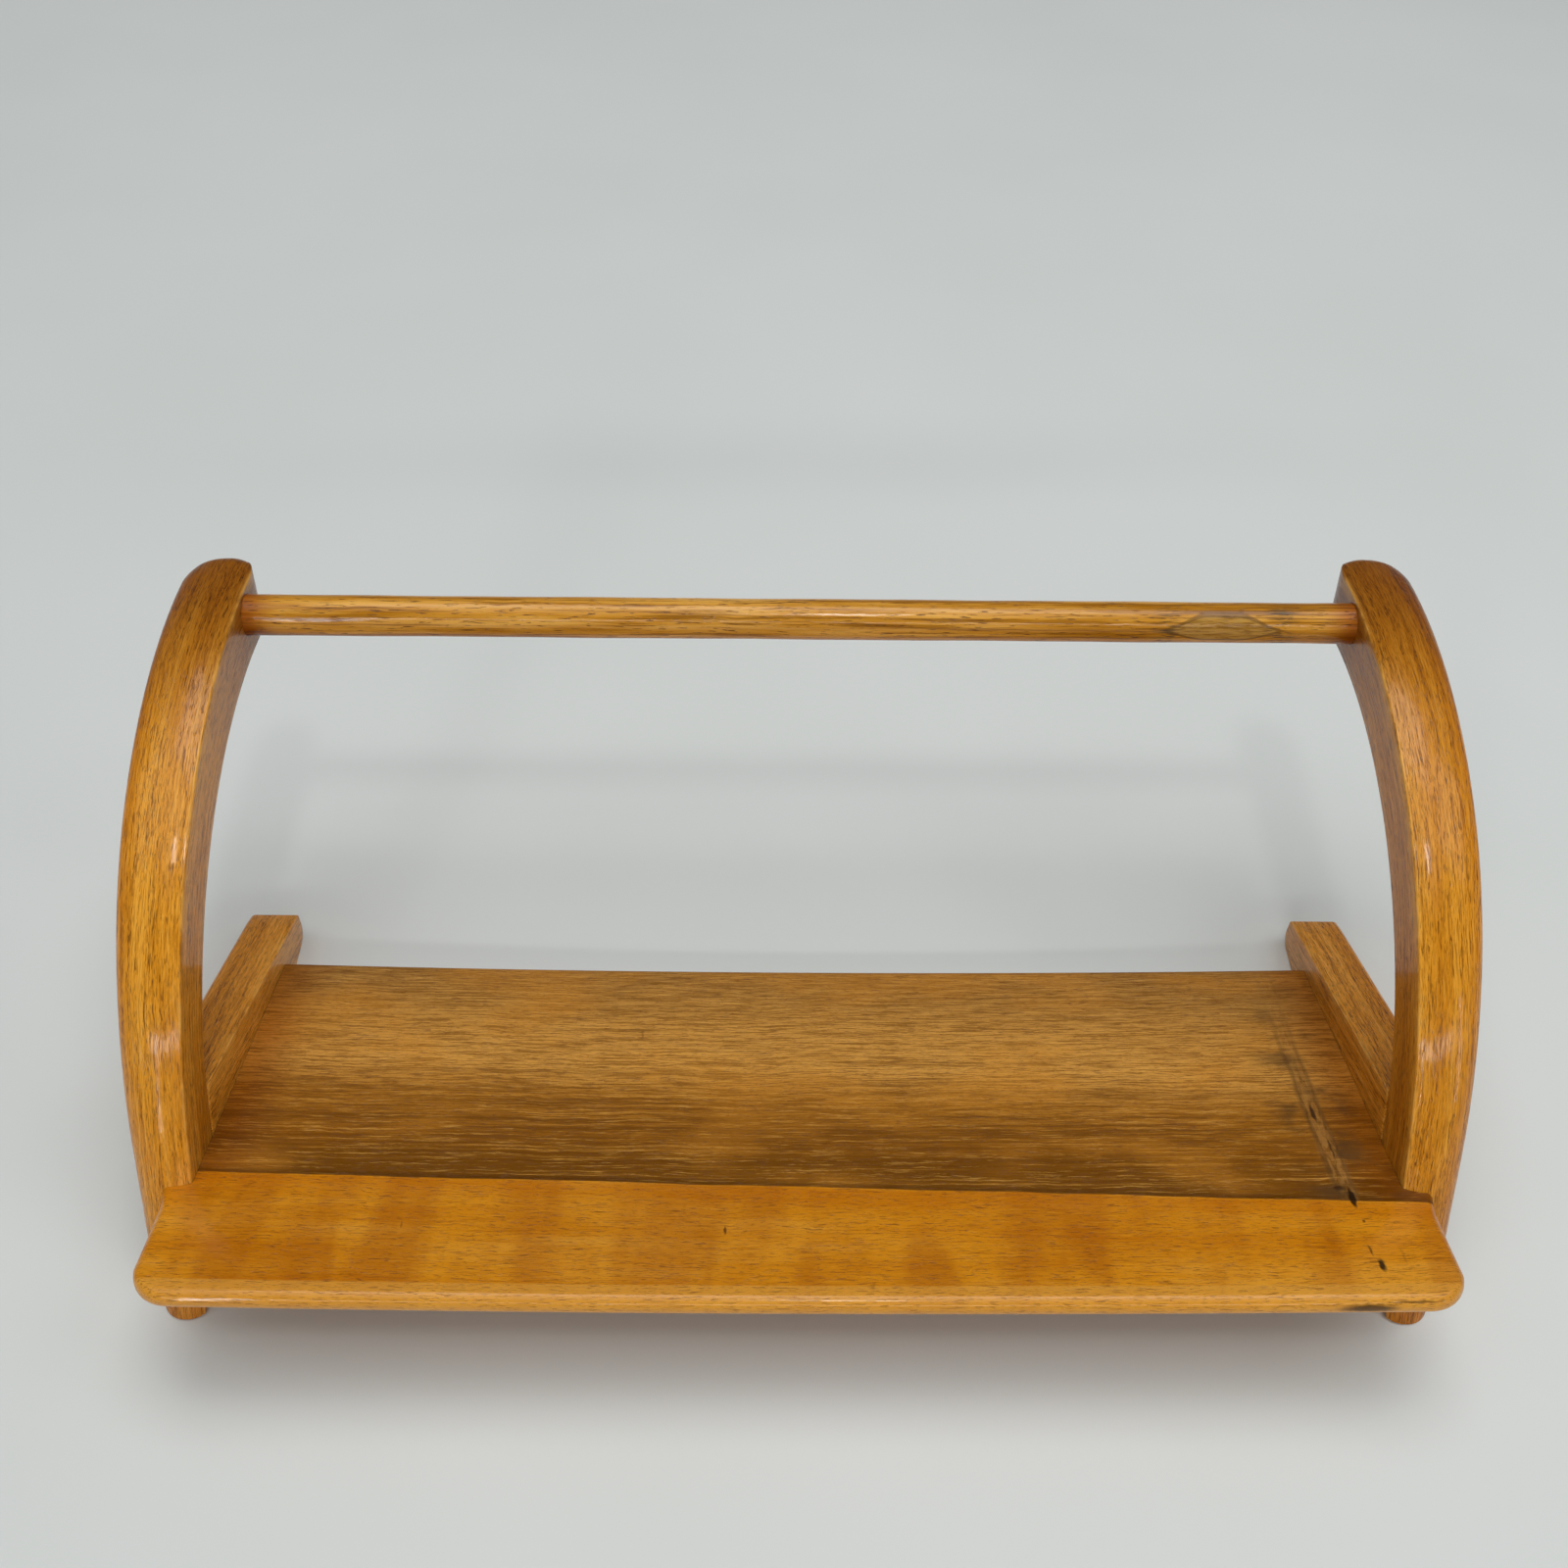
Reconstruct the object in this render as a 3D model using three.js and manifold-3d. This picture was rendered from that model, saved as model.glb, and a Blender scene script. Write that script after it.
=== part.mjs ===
// A tabletop book rack: a sloping shelf held between two arched side bows, a rear leg behind
// each bow, and a round rod between the bow tips that the books lean back against.
// Millimetres, +Z up. The front of the rack faces -Y and +X is the right-hand side.
// The origin is on the surface that the rack stands on, under the middle of its overall box.

import * as THREE from 'three';
import { mergeVertices } from 'three/addons/utils/BufferGeometryUtils.js';
import Module from 'manifold-3d';

const wasm = await Module();
wasm.setup();

// Whole rack. A place in the side view is (back, up): back is measured from the front tip of
// the bow's foot, up from the surface it stands on.
const INNER_HALF_WIDTH = 215;
const FRONT_FOOT_Y = -115.63;
const GAP = 0.3;

// Side bow: a straight shank that rises from the foot, then one round arch to the tip.
const SHANK_ANGLE = THREE.MathUtils.degToRad(60.4);
const SHANK_LENGTH = 59.2;
const ARCH_RADIUS = 182.8;
const TIP_DIP_ANGLE = THREE.MathUtils.degToRad(12.5);
const FOOT_HALF_DEPTH = 13.2;
const WAIST_HALF_DEPTH = 10.7;
const TIP_HALF_DEPTH = 13;
const WAIST_AT = 110;
const FOOT_THICKNESS = 17.5;
const SHANK_THICKNESS = 21.3;
const SHANK_THICKNESS_AT = 35;
const TIP_THICKNESS = 27.6;
const FOOT_OUTER_ROUNDING = 13;
const ARCH_OUTER_ROUNDING = 6;
const CROWN_HEIGHT = 2;
const CROWN_TOP_SHARE = 0.38;
const BACK_OUTER_ROUNDING = 4;
// The tip is rounded over: how far back each side starts to turn in, and how far in it goes.
const TIP_ROUNDING = {
  inner: { reach: 17, depth: 11 },
  outer: { reach: 17, depth: 13 },
  front: { reach: 7, depth: 6 },
  back: { reach: 5, depth: 4.5 },
};
const BELOW_FLOOR = 20;

// Rear leg: a straight rail from the back of the shank down to a flat foot.
const LEG_ANGLE = THREE.MathUtils.degToRad(-21.2);
const LEG_THICKNESS = 20.6;
const LEG_DEPTH = 26;
const LEG_TOP_START = { back: 62, up: 57.2 };
const LEG_END_BACK = 174.3;
const LEG_END_ROUNDING = 6;
const LEG_EDGE_BEVEL = 1.2;

// Shelf board: its front edge sits high, its rear edge low, and it sags between the bows.
const SHELF_ANGLE = THREE.MathUtils.degToRad(-15.4);
const SHELF_THICKNESS = 8;
const SHELF_NOSE = { back: -16.5, up: 54.8 };
const SHELF_LENGTH = 174;
const SHELF_REAR_ROUNDING = 2;
const SHELF_SAG = 4;
const EAR_HALF_WIDTH = 223.7;
const EAR_CORNER_RADIUS = 14.5;
const NOTCH_SHANK_AT = 38;

// Back rod and dowels.
const ROD_RADIUS = 8;
const ROD_AT = { back: 217.7, up: 146.3 };
const ROD_SOCKET_DEPTH = 12;
const JOINT_DOWEL = { radius: 3, length: 30, chamfer: 0.8 };
const JOINT_DOWEL_ROWS = [-7, -17];
const SHELF_DOWEL = { radius: 2.5, length: 20, chamfer: 0.6 };
const SHELF_DOWEL_RUNS = [53, 102, 150];

// The right bow runs on a little further past the rod than the left one.
const SIDES = [
  { name: 'left', sign: -1, tipExtra: 0 },
  { name: 'right', sign: 1, tipExtra: 6.4 },
];

const WOOD = {
  frame: new THREE.MeshStandardMaterial({ color: 0xb9792f, roughness: 0.32, metalness: 0 }),
  shelf: new THREE.MeshStandardMaterial({ color: 0x96561f, roughness: 0.3, metalness: 0 }),
  rod: new THREE.MeshStandardMaterial({ color: 0xa8773c, roughness: 0.4, metalness: 0 }),
  dowel: new THREE.MeshStandardMaterial({ color: 0xcfa873, roughness: 0.7, metalness: 0 }),
};

function toSolid(geometry) {
  const bare = geometry.clone();
  bare.deleteAttribute('normal');
  bare.deleteAttribute('uv');
  const merged = mergeVertices(bare, 1e-4);
  return new wasm.Manifold(new wasm.Mesh({
    numProp: 3,
    vertProperties: new Float32Array(merged.attributes.position.array),
    triVerts: new Uint32Array(merged.index.array),
  }));
}

function toGeometry(solid) {
  const mesh = solid.getMesh();
  const geometry = new THREE.BufferGeometry();
  geometry.setAttribute('position', new THREE.BufferAttribute(mesh.vertProperties, 3));
  geometry.setIndex(new THREE.BufferAttribute(mesh.triVerts, 1));
  geometry.computeVertexNormals();
  return geometry;
}

function cut(geometry, tools) {
  const solid = tools.reduce((rest, tool) => rest.subtract(toSolid(tool)), toSolid(geometry));
  return toGeometry(solid);
}

// Turns a shape made about its own origin to an angle in the side view and puts it in place.
function inSideView(geometry, place, angle = 0, across = 0) {
  geometry.rotateX(angle);
  geometry.translate(across, place.back + FRONT_FOOT_Y, place.up);
  return geometry;
}

function stepAlong(place, angle, along, above) {
  return {
    back: place.back + along * Math.cos(angle) - above * Math.sin(angle),
    up: place.up + along * Math.sin(angle) + above * Math.cos(angle),
  };
}

// A closed skin over rings of the same number of points, with a fan over each end.
function loft(rings) {
  const count = rings[0].length;
  const positions = rings.flat().flatMap((point) => point.toArray());
  const faces = [];
  for (let ring = 0; ring < rings.length - 1; ring += 1) {
    for (let i = 0; i < count; i += 1) {
      const next = (i + 1) % count;
      const a = ring * count + i;
      const b = ring * count + next;
      faces.push(a, b, b + count, a, b + count, a + count);
    }
  }
  [rings[0], rings[rings.length - 1]].forEach((ring, end) => {
    const centre = ring.reduce((sum, point) => sum.add(point), new THREE.Vector3());
    positions.push(...centre.divideScalar(count).toArray());
    const hub = positions.length / 3 - 1;
    const first = end === 0 ? 0 : (rings.length - 1) * count;
    for (let i = 0; i < count; i += 1) {
      const a = first + i;
      const b = first + ((i + 1) % count);
      faces.push(hub, ...(end === 0 ? [b, a] : [a, b]));
    }
  });
  const geometry = new THREE.BufferGeometry();
  geometry.setAttribute('position', new THREE.Float32BufferAttribute(positions, 3));
  geometry.setIndex(faces);
  return geometry;
}

function mirrored(geometry) {
  const copy = geometry.clone().scale(-1, 1, 1);
  const index = copy.index.array;
  for (let i = 0; i < index.length; i += 3) {
    [index[i], index[i + 1]] = [index[i + 1], index[i]];
  }
  copy.computeVertexNormals();
  return copy;
}

// ---- Side bow -------------------------------------------------------------------------

const BOW_LENGTH = SHANK_LENGTH + ARCH_RADIUS * (SHANK_ANGLE + TIP_DIP_ANGLE);
const BOW_FOOT = { back: FOOT_HALF_DEPTH / Math.sin(SHANK_ANGLE), up: 0 };

// The middle line of the bow, with its heading, at a distance along it from the floor.
function bowLine(along) {
  const straight = Math.min(along, SHANK_LENGTH);
  const shankEnd = stepAlong(BOW_FOOT, SHANK_ANGLE, straight, 0);
  const turned = Math.max(along - SHANK_LENGTH, 0) / ARCH_RADIUS;
  const arc = stepAlong(
    shankEnd,
    SHANK_ANGLE,
    ARCH_RADIUS * Math.sin(turned),
    ARCH_RADIUS * (Math.cos(turned) - 1),
  );
  return { ...arc, angle: SHANK_ANGLE - turned };
}

function bowHalfDepth(along) {
  if (along < WAIST_AT) {
    const flare = (1 - along / WAIST_AT) ** 2;
    return WAIST_HALF_DEPTH + (FOOT_HALF_DEPTH - WAIST_HALF_DEPTH) * flare;
  }
  const swell = ((along - WAIST_AT) / (BOW_LENGTH - WAIST_AT)) ** 1.2;
  return WAIST_HALF_DEPTH + (TIP_HALF_DEPTH - WAIST_HALF_DEPTH) * swell;
}

// The bow is slim at the foot, reaches its shank width soon, and widens slowly to the tip.
function bowThickness(along) {
  if (along < SHANK_THICKNESS_AT) {
    const taper = (1 - Math.max(along, 0) / SHANK_THICKNESS_AT) ** 2;
    return THREE.MathUtils.lerp(SHANK_THICKNESS, FOOT_THICKNESS, taper);
  }
  const share = (along - SHANK_THICKNESS_AT) / (BOW_LENGTH - SHANK_THICKNESS_AT);
  return THREE.MathUtils.lerp(SHANK_THICKNESS, TIP_THICKNESS, Math.min(share, 1) ** 0.75);
}

// Section of the bow as (across, above) pairs: flat inner face, crowned front, rounded outside.
function bowSection(along) {
  const half = bowHalfDepth(along);
  const thickness = bowThickness(along);
  const share = THREE.MathUtils.smoothstep(along, 0, 0.6 * BOW_LENGTH);
  const rounding = THREE.MathUtils.lerp(FOOT_OUTER_ROUNDING, ARCH_OUTER_ROUNDING, share);
  const crownAcross = CROWN_TOP_SHARE * thickness;
  const points = [[0, -half]];
  for (let i = 0; i <= 3; i += 1) {
    const turn = (i / 3) * Math.PI * 0.5;
    points.push([
      thickness - BACK_OUTER_ROUNDING * (1 - Math.sin(turn)),
      -half + BACK_OUTER_ROUNDING * (1 - Math.cos(turn)),
    ]);
  }
  for (let i = 0; i <= 7; i += 1) {
    const turn = (i / 7) * Math.PI * 0.5;
    points.push([
      crownAcross + (thickness - crownAcross) * Math.cos(turn) ** 0.85,
      half + CROWN_HEIGHT - rounding * (1 - Math.sin(turn) ** 0.85),
    ]);
  }
  for (let i = 2; i >= 0; i -= 1) {
    const across = (i / 3) * crownAcross;
    points.push([across, half + CROWN_HEIGHT * (1 - (1 - across / crownAcross) ** 2)]);
  }
  return points.reverse();
}

// How far a side has turned in, this close to the end of the tip.
function turnedIn(toEnd, { reach, depth }) {
  const over = Math.max(reach - toEnd, 0) / reach;
  return depth * (1 - Math.sqrt(1 - over ** 2));
}

function bowRing(along, length) {
  const middle = bowLine(along);
  const thickness = bowThickness(along);
  const half = bowHalfDepth(along);
  const toEnd = length - along;
  const inner = turnedIn(toEnd, TIP_ROUNDING.inner);
  const outer = thickness - turnedIn(toEnd, TIP_ROUNDING.outer);
  const front = half + CROWN_HEIGHT - turnedIn(toEnd, TIP_ROUNDING.front);
  const back = -half + turnedIn(toEnd, TIP_ROUNDING.back);
  return bowSection(along).map(([across, above]) => {
    const side = THREE.MathUtils.lerp(inner, outer, across / thickness);
    const share = (above + half) / (2 * half + CROWN_HEIGHT);
    const place = stepAlong(middle, middle.angle, 0, THREE.MathUtils.lerp(back, front, share));
    return new THREE.Vector3(INNER_HALF_WIDTH + side, place.back + FRONT_FOOT_Y, place.up);
  });
}

function bowBlank(tipExtra) {
  const length = BOW_LENGTH + tipExtra;
  const archEnd = length - TIP_ROUNDING.outer.reach;
  const stations = [-BELOW_FLOOR, 0, 10, 20, 32, 45, SHANK_LENGTH];
  const archSteps = 21;
  for (let i = 1; i <= archSteps; i += 1) {
    stations.push(THREE.MathUtils.lerp(SHANK_LENGTH, archEnd, i / archSteps));
  }
  const tipSteps = 7;
  for (let i = 1; i <= tipSteps; i += 1) {
    const turn = (i / tipSteps) * Math.PI * 0.47;
    stations.push(archEnd + TIP_ROUNDING.outer.reach * Math.sin(turn));
  }
  return loft(stations.map((along) => bowRing(along, length)));
}

// ---- Holes and cutters ------------------------------------------------------------------

function crossHole(place, radius, length, segments = 32) {
  const drill = new THREE.CylinderGeometry(radius, radius, length, segments);
  drill.rotateZ(Math.PI / 2);
  return inSideView(drill, place, 0, INNER_HALF_WIDTH);
}

function shelfPlace(run, above = 0) {
  return stepAlong(SHELF_NOSE, SHELF_ANGLE, run, above);
}

function shelfDowelHoles() {
  return SHELF_DOWEL_RUNS.map((run) => crossHole(
    shelfPlace(run),
    SHELF_DOWEL.radius + GAP,
    SHELF_DOWEL.length + 2 * GAP,
    24,
  ));
}

function jointDowelPlace(row) {
  const topMeeting = stepAlong(LEG_TOP_START, LEG_ANGLE, 0, row);
  const intoLeg = (-row) * Math.tan(Math.PI / 2 - SHANK_ANGLE + LEG_ANGLE);
  return stepAlong(topMeeting, LEG_ANGLE, -intoLeg, 0);
}

function jointDowelHoles() {
  const across = INNER_HALF_WIDTH + LEG_THICKNESS / 2;
  return JOINT_DOWEL_ROWS.map((row) => {
    const radius = JOINT_DOWEL.radius + GAP;
    const drill = new THREE.CylinderGeometry(radius, radius, JOINT_DOWEL.length + 2 * GAP, 24);
    return inSideView(drill, jointDowelPlace(row), LEG_ANGLE, across);
  });
}

function floorCutter() {
  const block = new THREE.BoxGeometry(120, 400, 60);
  return block.translate(INNER_HALF_WIDTH, 0, -30);
}

// Clears the board away behind the bow's front face, so that the bow stands in a notch.
function notchCutter() {
  const reach = { along: 160, above: 260 };
  const face = bowHalfDepth(NOTCH_SHANK_AT) + CROWN_HEIGHT + GAP;
  const block = new THREE.BoxGeometry(60, reach.along, reach.above);
  const place = stepAlong(BOW_FOOT, SHANK_ANGLE, NOTCH_SHANK_AT, face - reach.above / 2);
  return inSideView(block, place, SHANK_ANGLE, INNER_HALF_WIDTH - GAP + 30);
}

// ---- Parts ------------------------------------------------------------------------------

function sideBow({ sign, tipExtra }) {
  const socket = crossHole(ROD_AT, ROD_RADIUS + GAP, 2 * ROD_SOCKET_DEPTH, 40);
  const tools = [floorCutter(), socket, ...jointDowelHoles(), ...shelfDowelHoles()];
  const bow = cut(bowBlank(tipExtra), tools);
  return sign < 0 ? mirrored(bow) : bow;
}

function legOutline() {
  const start = LEG_TOP_START;
  const endUp = start.up + (LEG_END_BACK - start.back) * Math.tan(LEG_ANGLE);
  const underDrop = LEG_DEPTH / Math.cos(LEG_ANGLE);
  const seatBack = start.back + (underDrop - start.up) / Math.tan(LEG_ANGLE);
  const joint = { slope: Math.tan(SHANK_ANGLE), fall: Math.tan(LEG_ANGLE) };
  const underBack = start.back - underDrop / (joint.slope - joint.fall);
  const underUp = start.up - (start.back - underBack) * joint.slope;
  const outline = new THREE.Shape();
  outline.moveTo(start.back, start.up);
  outline.lineTo(underBack, underUp);
  outline.lineTo(seatBack, 0);
  outline.lineTo(LEG_END_BACK - LEG_END_ROUNDING, 0);
  outline.quadraticCurveTo(LEG_END_BACK, 0, LEG_END_BACK, LEG_END_ROUNDING);
  outline.lineTo(LEG_END_BACK, endUp - 2);
  outline.quadraticCurveTo(LEG_END_BACK, endUp, LEG_END_BACK - 2, endUp - 2 * joint.fall);
  outline.closePath();
  return outline;
}

function rearLeg() {
  const geometry = new THREE.ExtrudeGeometry(legOutline(), {
    depth: LEG_THICKNESS - 2 * LEG_EDGE_BEVEL,
    curveSegments: 5,
    bevelThickness: LEG_EDGE_BEVEL,
    bevelSize: LEG_EDGE_BEVEL,
    bevelOffset: -LEG_EDGE_BEVEL,
    bevelSegments: 2,
  });
  const sideViewAxes = new THREE.Matrix4().makeBasis(
    new THREE.Vector3(0, 1, 0),
    new THREE.Vector3(0, 0, 1),
    new THREE.Vector3(1, 0, 0),
  );
  geometry.applyMatrix4(sideViewAxes);
  geometry.translate(INNER_HALF_WIDTH + LEG_EDGE_BEVEL, FRONT_FOOT_Y, 0);
  return cut(geometry, [...jointDowelHoles(), ...shelfDowelHoles()]);
}

// Section of the shelf as (run, above) pairs: round front nose, softened rear edge.
function shelfSection(half, noseRun) {
  const rearRun = SHELF_LENGTH - SHELF_NOSE_RADIUS;
  const soft = Math.min(SHELF_REAR_ROUNDING, half);
  const points = [];
  for (let i = 0; i <= 8; i += 1) {
    const turn = (i / 8) * Math.PI;
    points.push([noseRun - half * Math.sin(turn), half * Math.cos(turn)]);
  }
  for (let i = 0; i <= 3; i += 1) {
    const turn = (i / 3) * Math.PI * 0.5;
    points.push([rearRun - soft * (1 - Math.sin(turn)), -half + soft * (1 - Math.cos(turn))]);
  }
  for (let i = 0; i <= 3; i += 1) {
    const turn = (i / 3) * Math.PI * 0.5;
    points.push([rearRun - soft * (1 - Math.cos(turn)), half - soft * (1 - Math.sin(turn))]);
  }
  return points;
}

const SHELF_NOSE_RADIUS = SHELF_THICKNESS / 2;

function shelfRing(across) {
  const reach = Math.abs(across);
  const overEdge = Math.max(reach - (EAR_HALF_WIDTH - SHELF_NOSE_RADIUS), 0);
  const overCorner = Math.max(reach - (EAR_HALF_WIDTH - EAR_CORNER_RADIUS), 0);
  const half = Math.sqrt(SHELF_NOSE_RADIUS ** 2 - overEdge ** 2);
  const noseBack = EAR_CORNER_RADIUS - Math.sqrt(EAR_CORNER_RADIUS ** 2 - overCorner ** 2);
  const noseRun = noseBack - (SHELF_NOSE_RADIUS - half);
  const sag = SHELF_SAG * Math.max(1 - (across / INNER_HALF_WIDTH) ** 2, 0);
  return shelfSection(half, noseRun).map(([run, above]) => {
    const place = shelfPlace(run, above);
    return new THREE.Vector3(across, place.back + FRONT_FOOT_Y, place.up - sag);
  });
}

function shelfBoard() {
  const stations = [];
  const middleSteps = 12;
  for (let i = 0; i <= middleSteps; i += 1) {
    stations.push(THREE.MathUtils.lerp(-205, 205, i / middleSteps));
  }
  const edge = [13.7, 10.2, 7.7, 5.7, 4.2, 2.9, 1.2, 0.4, 0.1].map((inset) => EAR_HALF_WIDTH - inset);
  const all = [...edge.map((x) => -x).reverse(), ...stations, ...edge];
  const blank = loft(all.map(shelfRing));
  const rightTools = [notchCutter(), ...shelfDowelHoles()];
  return cut(blank, [...rightTools, ...rightTools.map(mirrored)]);
}

function backRod() {
  const length = 2 * (INNER_HALF_WIDTH + ROD_SOCKET_DEPTH - GAP);
  const geometry = new THREE.CylinderGeometry(ROD_RADIUS, ROD_RADIUS, length, 40);
  geometry.rotateZ(Math.PI / 2);
  return inSideView(geometry, ROD_AT);
}

function dowelPin({ radius, length, chamfer }) {
  const half = length / 2;
  const profile = [
    [0, -half],
    [radius - chamfer, -half],
    [radius, -half + chamfer],
    [radius, half - chamfer],
    [radius - chamfer, half],
    [0, half],
  ].map(([x, y]) => new THREE.Vector2(x, y));
  return new THREE.LatheGeometry(profile, 24);
}

function named(name, geometry, material) {
  const mesh = new THREE.Mesh(geometry, material);
  mesh.name = name;
  return mesh;
}

function jointDowels({ name, sign }) {
  const across = sign * (INNER_HALF_WIDTH + LEG_THICKNESS / 2);
  return JOINT_DOWEL_ROWS.map((row, i) => {
    const pin = named(`${name}_leg_dowel_${i + 1}`, dowelPin(JOINT_DOWEL), WOOD.dowel);
    const place = jointDowelPlace(row);
    pin.rotation.x = LEG_ANGLE;
    pin.position.set(across, place.back + FRONT_FOOT_Y, place.up);
    return pin;
  });
}

function shelfDowels({ name, sign }) {
  return SHELF_DOWEL_RUNS.map((run, i) => {
    const pin = named(`${name}_shelf_dowel_${i + 1}`, dowelPin(SHELF_DOWEL), WOOD.dowel);
    const place = shelfPlace(run);
    pin.rotation.z = Math.PI / 2;
    pin.position.set(sign * INNER_HALF_WIDTH, place.back + FRONT_FOOT_Y, place.up);
    return pin;
  });
}

const group = new THREE.Group();
const rightLeg = rearLeg();
group.add(named('shelf_board', shelfBoard(), WOOD.shelf));
group.add(named('back_rod', backRod(), WOOD.rod));
SIDES.forEach((side) => {
  const leg = side.sign < 0 ? mirrored(rightLeg) : rightLeg;
  group.add(named(`${side.name}_bow`, sideBow(side), WOOD.frame));
  group.add(named(`${side.name}_rear_leg`, leg, WOOD.frame));
  group.add(...jointDowels(side), ...shelfDowels(side));
});

export default group;
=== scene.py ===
"""Looks of the tabletop book rack: fine meshes of its wood pieces, varnished grain, studio."""

import math

import bpy
import numpy as np
from mathutils import Matrix, Vector


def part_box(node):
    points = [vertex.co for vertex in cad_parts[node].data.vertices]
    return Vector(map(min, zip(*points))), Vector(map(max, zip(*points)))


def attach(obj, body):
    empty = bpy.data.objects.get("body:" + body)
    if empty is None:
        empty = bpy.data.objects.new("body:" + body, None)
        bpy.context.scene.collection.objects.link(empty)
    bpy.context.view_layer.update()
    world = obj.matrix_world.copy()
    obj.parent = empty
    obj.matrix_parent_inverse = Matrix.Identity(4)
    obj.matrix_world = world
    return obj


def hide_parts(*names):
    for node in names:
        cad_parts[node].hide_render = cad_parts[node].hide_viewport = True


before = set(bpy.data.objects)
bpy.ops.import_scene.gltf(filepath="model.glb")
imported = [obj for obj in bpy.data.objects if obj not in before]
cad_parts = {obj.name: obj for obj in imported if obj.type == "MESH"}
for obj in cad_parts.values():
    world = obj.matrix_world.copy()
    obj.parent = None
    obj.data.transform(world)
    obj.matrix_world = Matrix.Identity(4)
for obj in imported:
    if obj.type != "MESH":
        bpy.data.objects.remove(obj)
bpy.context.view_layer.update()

MM = 0.001

# ---------------------------------------------------------------------------------------------
# The rack's shape. A place in the side view is (back, up), with back measured from the front tip
# of the bow's foot. Widths, the rod and the side view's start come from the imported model.
# ---------------------------------------------------------------------------------------------

ROD_LOW, ROD_HIGH = (Vector(corner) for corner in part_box("back_rod"))
BOW_LOW, BOW_HIGH = (Vector(corner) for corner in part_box("right_bow"))
LEG_LOW, LEG_HIGH = (Vector(corner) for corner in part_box("right_rear_leg"))
SHELF_HIGH = Vector(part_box("shelf_board")[1])

INNER_HALF_WIDTH = BOW_LOW.x
ROD_RADIUS = (ROD_HIGH.z - ROD_LOW.z) / 2
ROD_LENGTH = ROD_HIGH.x - ROD_LOW.x
ROD_CENTRE = (ROD_LOW + ROD_HIGH) / 2
ROD_BACK = 217.7 * MM
FRONT_FOOT_Y = ROD_CENTRE.y - ROD_BACK

SHANK_ANGLE = math.radians(60.4)
SHANK_LENGTH = 59.2 * MM
ARCH_RADIUS = 182.8 * MM
TIP_DIP_ANGLE = math.radians(12.5)
BOW_LENGTH = SHANK_LENGTH + ARCH_RADIUS * (SHANK_ANGLE + TIP_DIP_ANGLE)
FOOT_HALF_DEPTH = 13.2 * MM
WAIST_HALF_DEPTH = 10.7 * MM
TIP_HALF_DEPTH = 13 * MM
WAIST_AT = 110 * MM
FOOT_THICKNESS = 17.5 * MM
SHANK_THICKNESS = 21.3 * MM
SHANK_THICKNESS_AT = 35 * MM
TIP_THICKNESS = BOW_HIGH.x - BOW_LOW.x
FOOT_OUTER_ROUNDING = 13 * MM
ARCH_OUTER_ROUNDING = 6 * MM
CROWN_HEIGHT = 2 * MM
CROWN_TOP_SHARE = 0.38
BOW_FOOT = (FOOT_HALF_DEPTH / math.sin(SHANK_ANGLE), 0.0)

LEG_ANGLE = math.radians(-21.2)
LEG_THICKNESS = LEG_HIGH.x - LEG_LOW.x
LEG_DEPTH = 26 * MM
LEG_TOP_START = (62 * MM, 57.2 * MM)
LEG_END_BACK = 174.3 * MM
LEG_TOE_RADIUS = 7 * MM

SHELF_ANGLE = math.radians(-15.4)
SHELF_HALF_THICKNESS = 4 * MM
SHELF_NOSE = (-16.5 * MM, 54.8 * MM)
SHELF_LENGTH = 174 * MM
SHELF_SAG = 4 * MM
EAR_HALF_WIDTH = SHELF_HIGH.x
EAR_FLARE = 3 * MM
EAR_FLARE_RUNS = (33 * MM, 47 * MM)
EAR_CORNER_RADIUS = 14.5 * MM

JOINT_GAP = 0.15 * MM
RIDGE_REACH = 1.3 * MM
RIGHT_TIP_EXTRA = 6.4 * MM
# Each side: its name, its sign along X, and how much longer its bow runs past the rod.
SIDES = (("left", -1, 0.0), ("right", 1, RIGHT_TIP_EXTRA))

# Edges sharper than this many degrees stay sharp.
CREASE_ANGLE = 35
SOFT_CREASE_ANGLE = 40


def step_along(place, angle, along, above):
    back, up = place
    return (
        back + along * math.cos(angle) - above * math.sin(angle),
        up + along * math.sin(angle) + above * math.cos(angle),
    )


def to_frame(across, place):
    return Vector((across, FRONT_FOOT_Y + place[0], place[1]))


def lerp(low, high, share):
    return low + (high - low) * share


def smooth(share):
    share = min(max(share, 0.0), 1.0)
    return share * share * (3 - 2 * share)


# ---------------------------------------------------------------------------------------------
# Mesh helpers
# ---------------------------------------------------------------------------------------------

def mesh_object(name, points, faces, crease_angle=CREASE_ANGLE):
    mesh = bpy.data.meshes.new(name)
    mesh.from_pydata([tuple(point) for point in points], [], faces)
    mesh.validate()
    piece = bpy.data.objects.new(name, mesh)
    bpy.context.scene.collection.objects.link(piece)
    shade(piece, crease_angle)
    return piece


def shade(piece, crease_angle):
    for face in piece.data.polygons:
        face.use_smooth = True
    piece.data.set_sharp_from_angle(angle=math.radians(crease_angle))


def loft(name, rings, crease_angle=CREASE_ANGLE):
    """A closed skin over rings of equal length, with one flat face over each end."""
    count = len(rings[0])
    points = [point for ring in rings for point in ring]
    faces = []
    for ring in range(len(rings) - 1):
        for i in range(count):
            a = ring * count + i
            b = ring * count + (i + 1) % count
            faces.append((a, b, b + count, a + count))
    last = (len(rings) - 1) * count
    faces.append(tuple(reversed(range(count))))
    faces.append(tuple(range(last, last + count)))
    return mesh_object(name, points, faces, crease_angle)


def flipped(piece):
    piece.data.flip_normals()
    return piece


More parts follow.
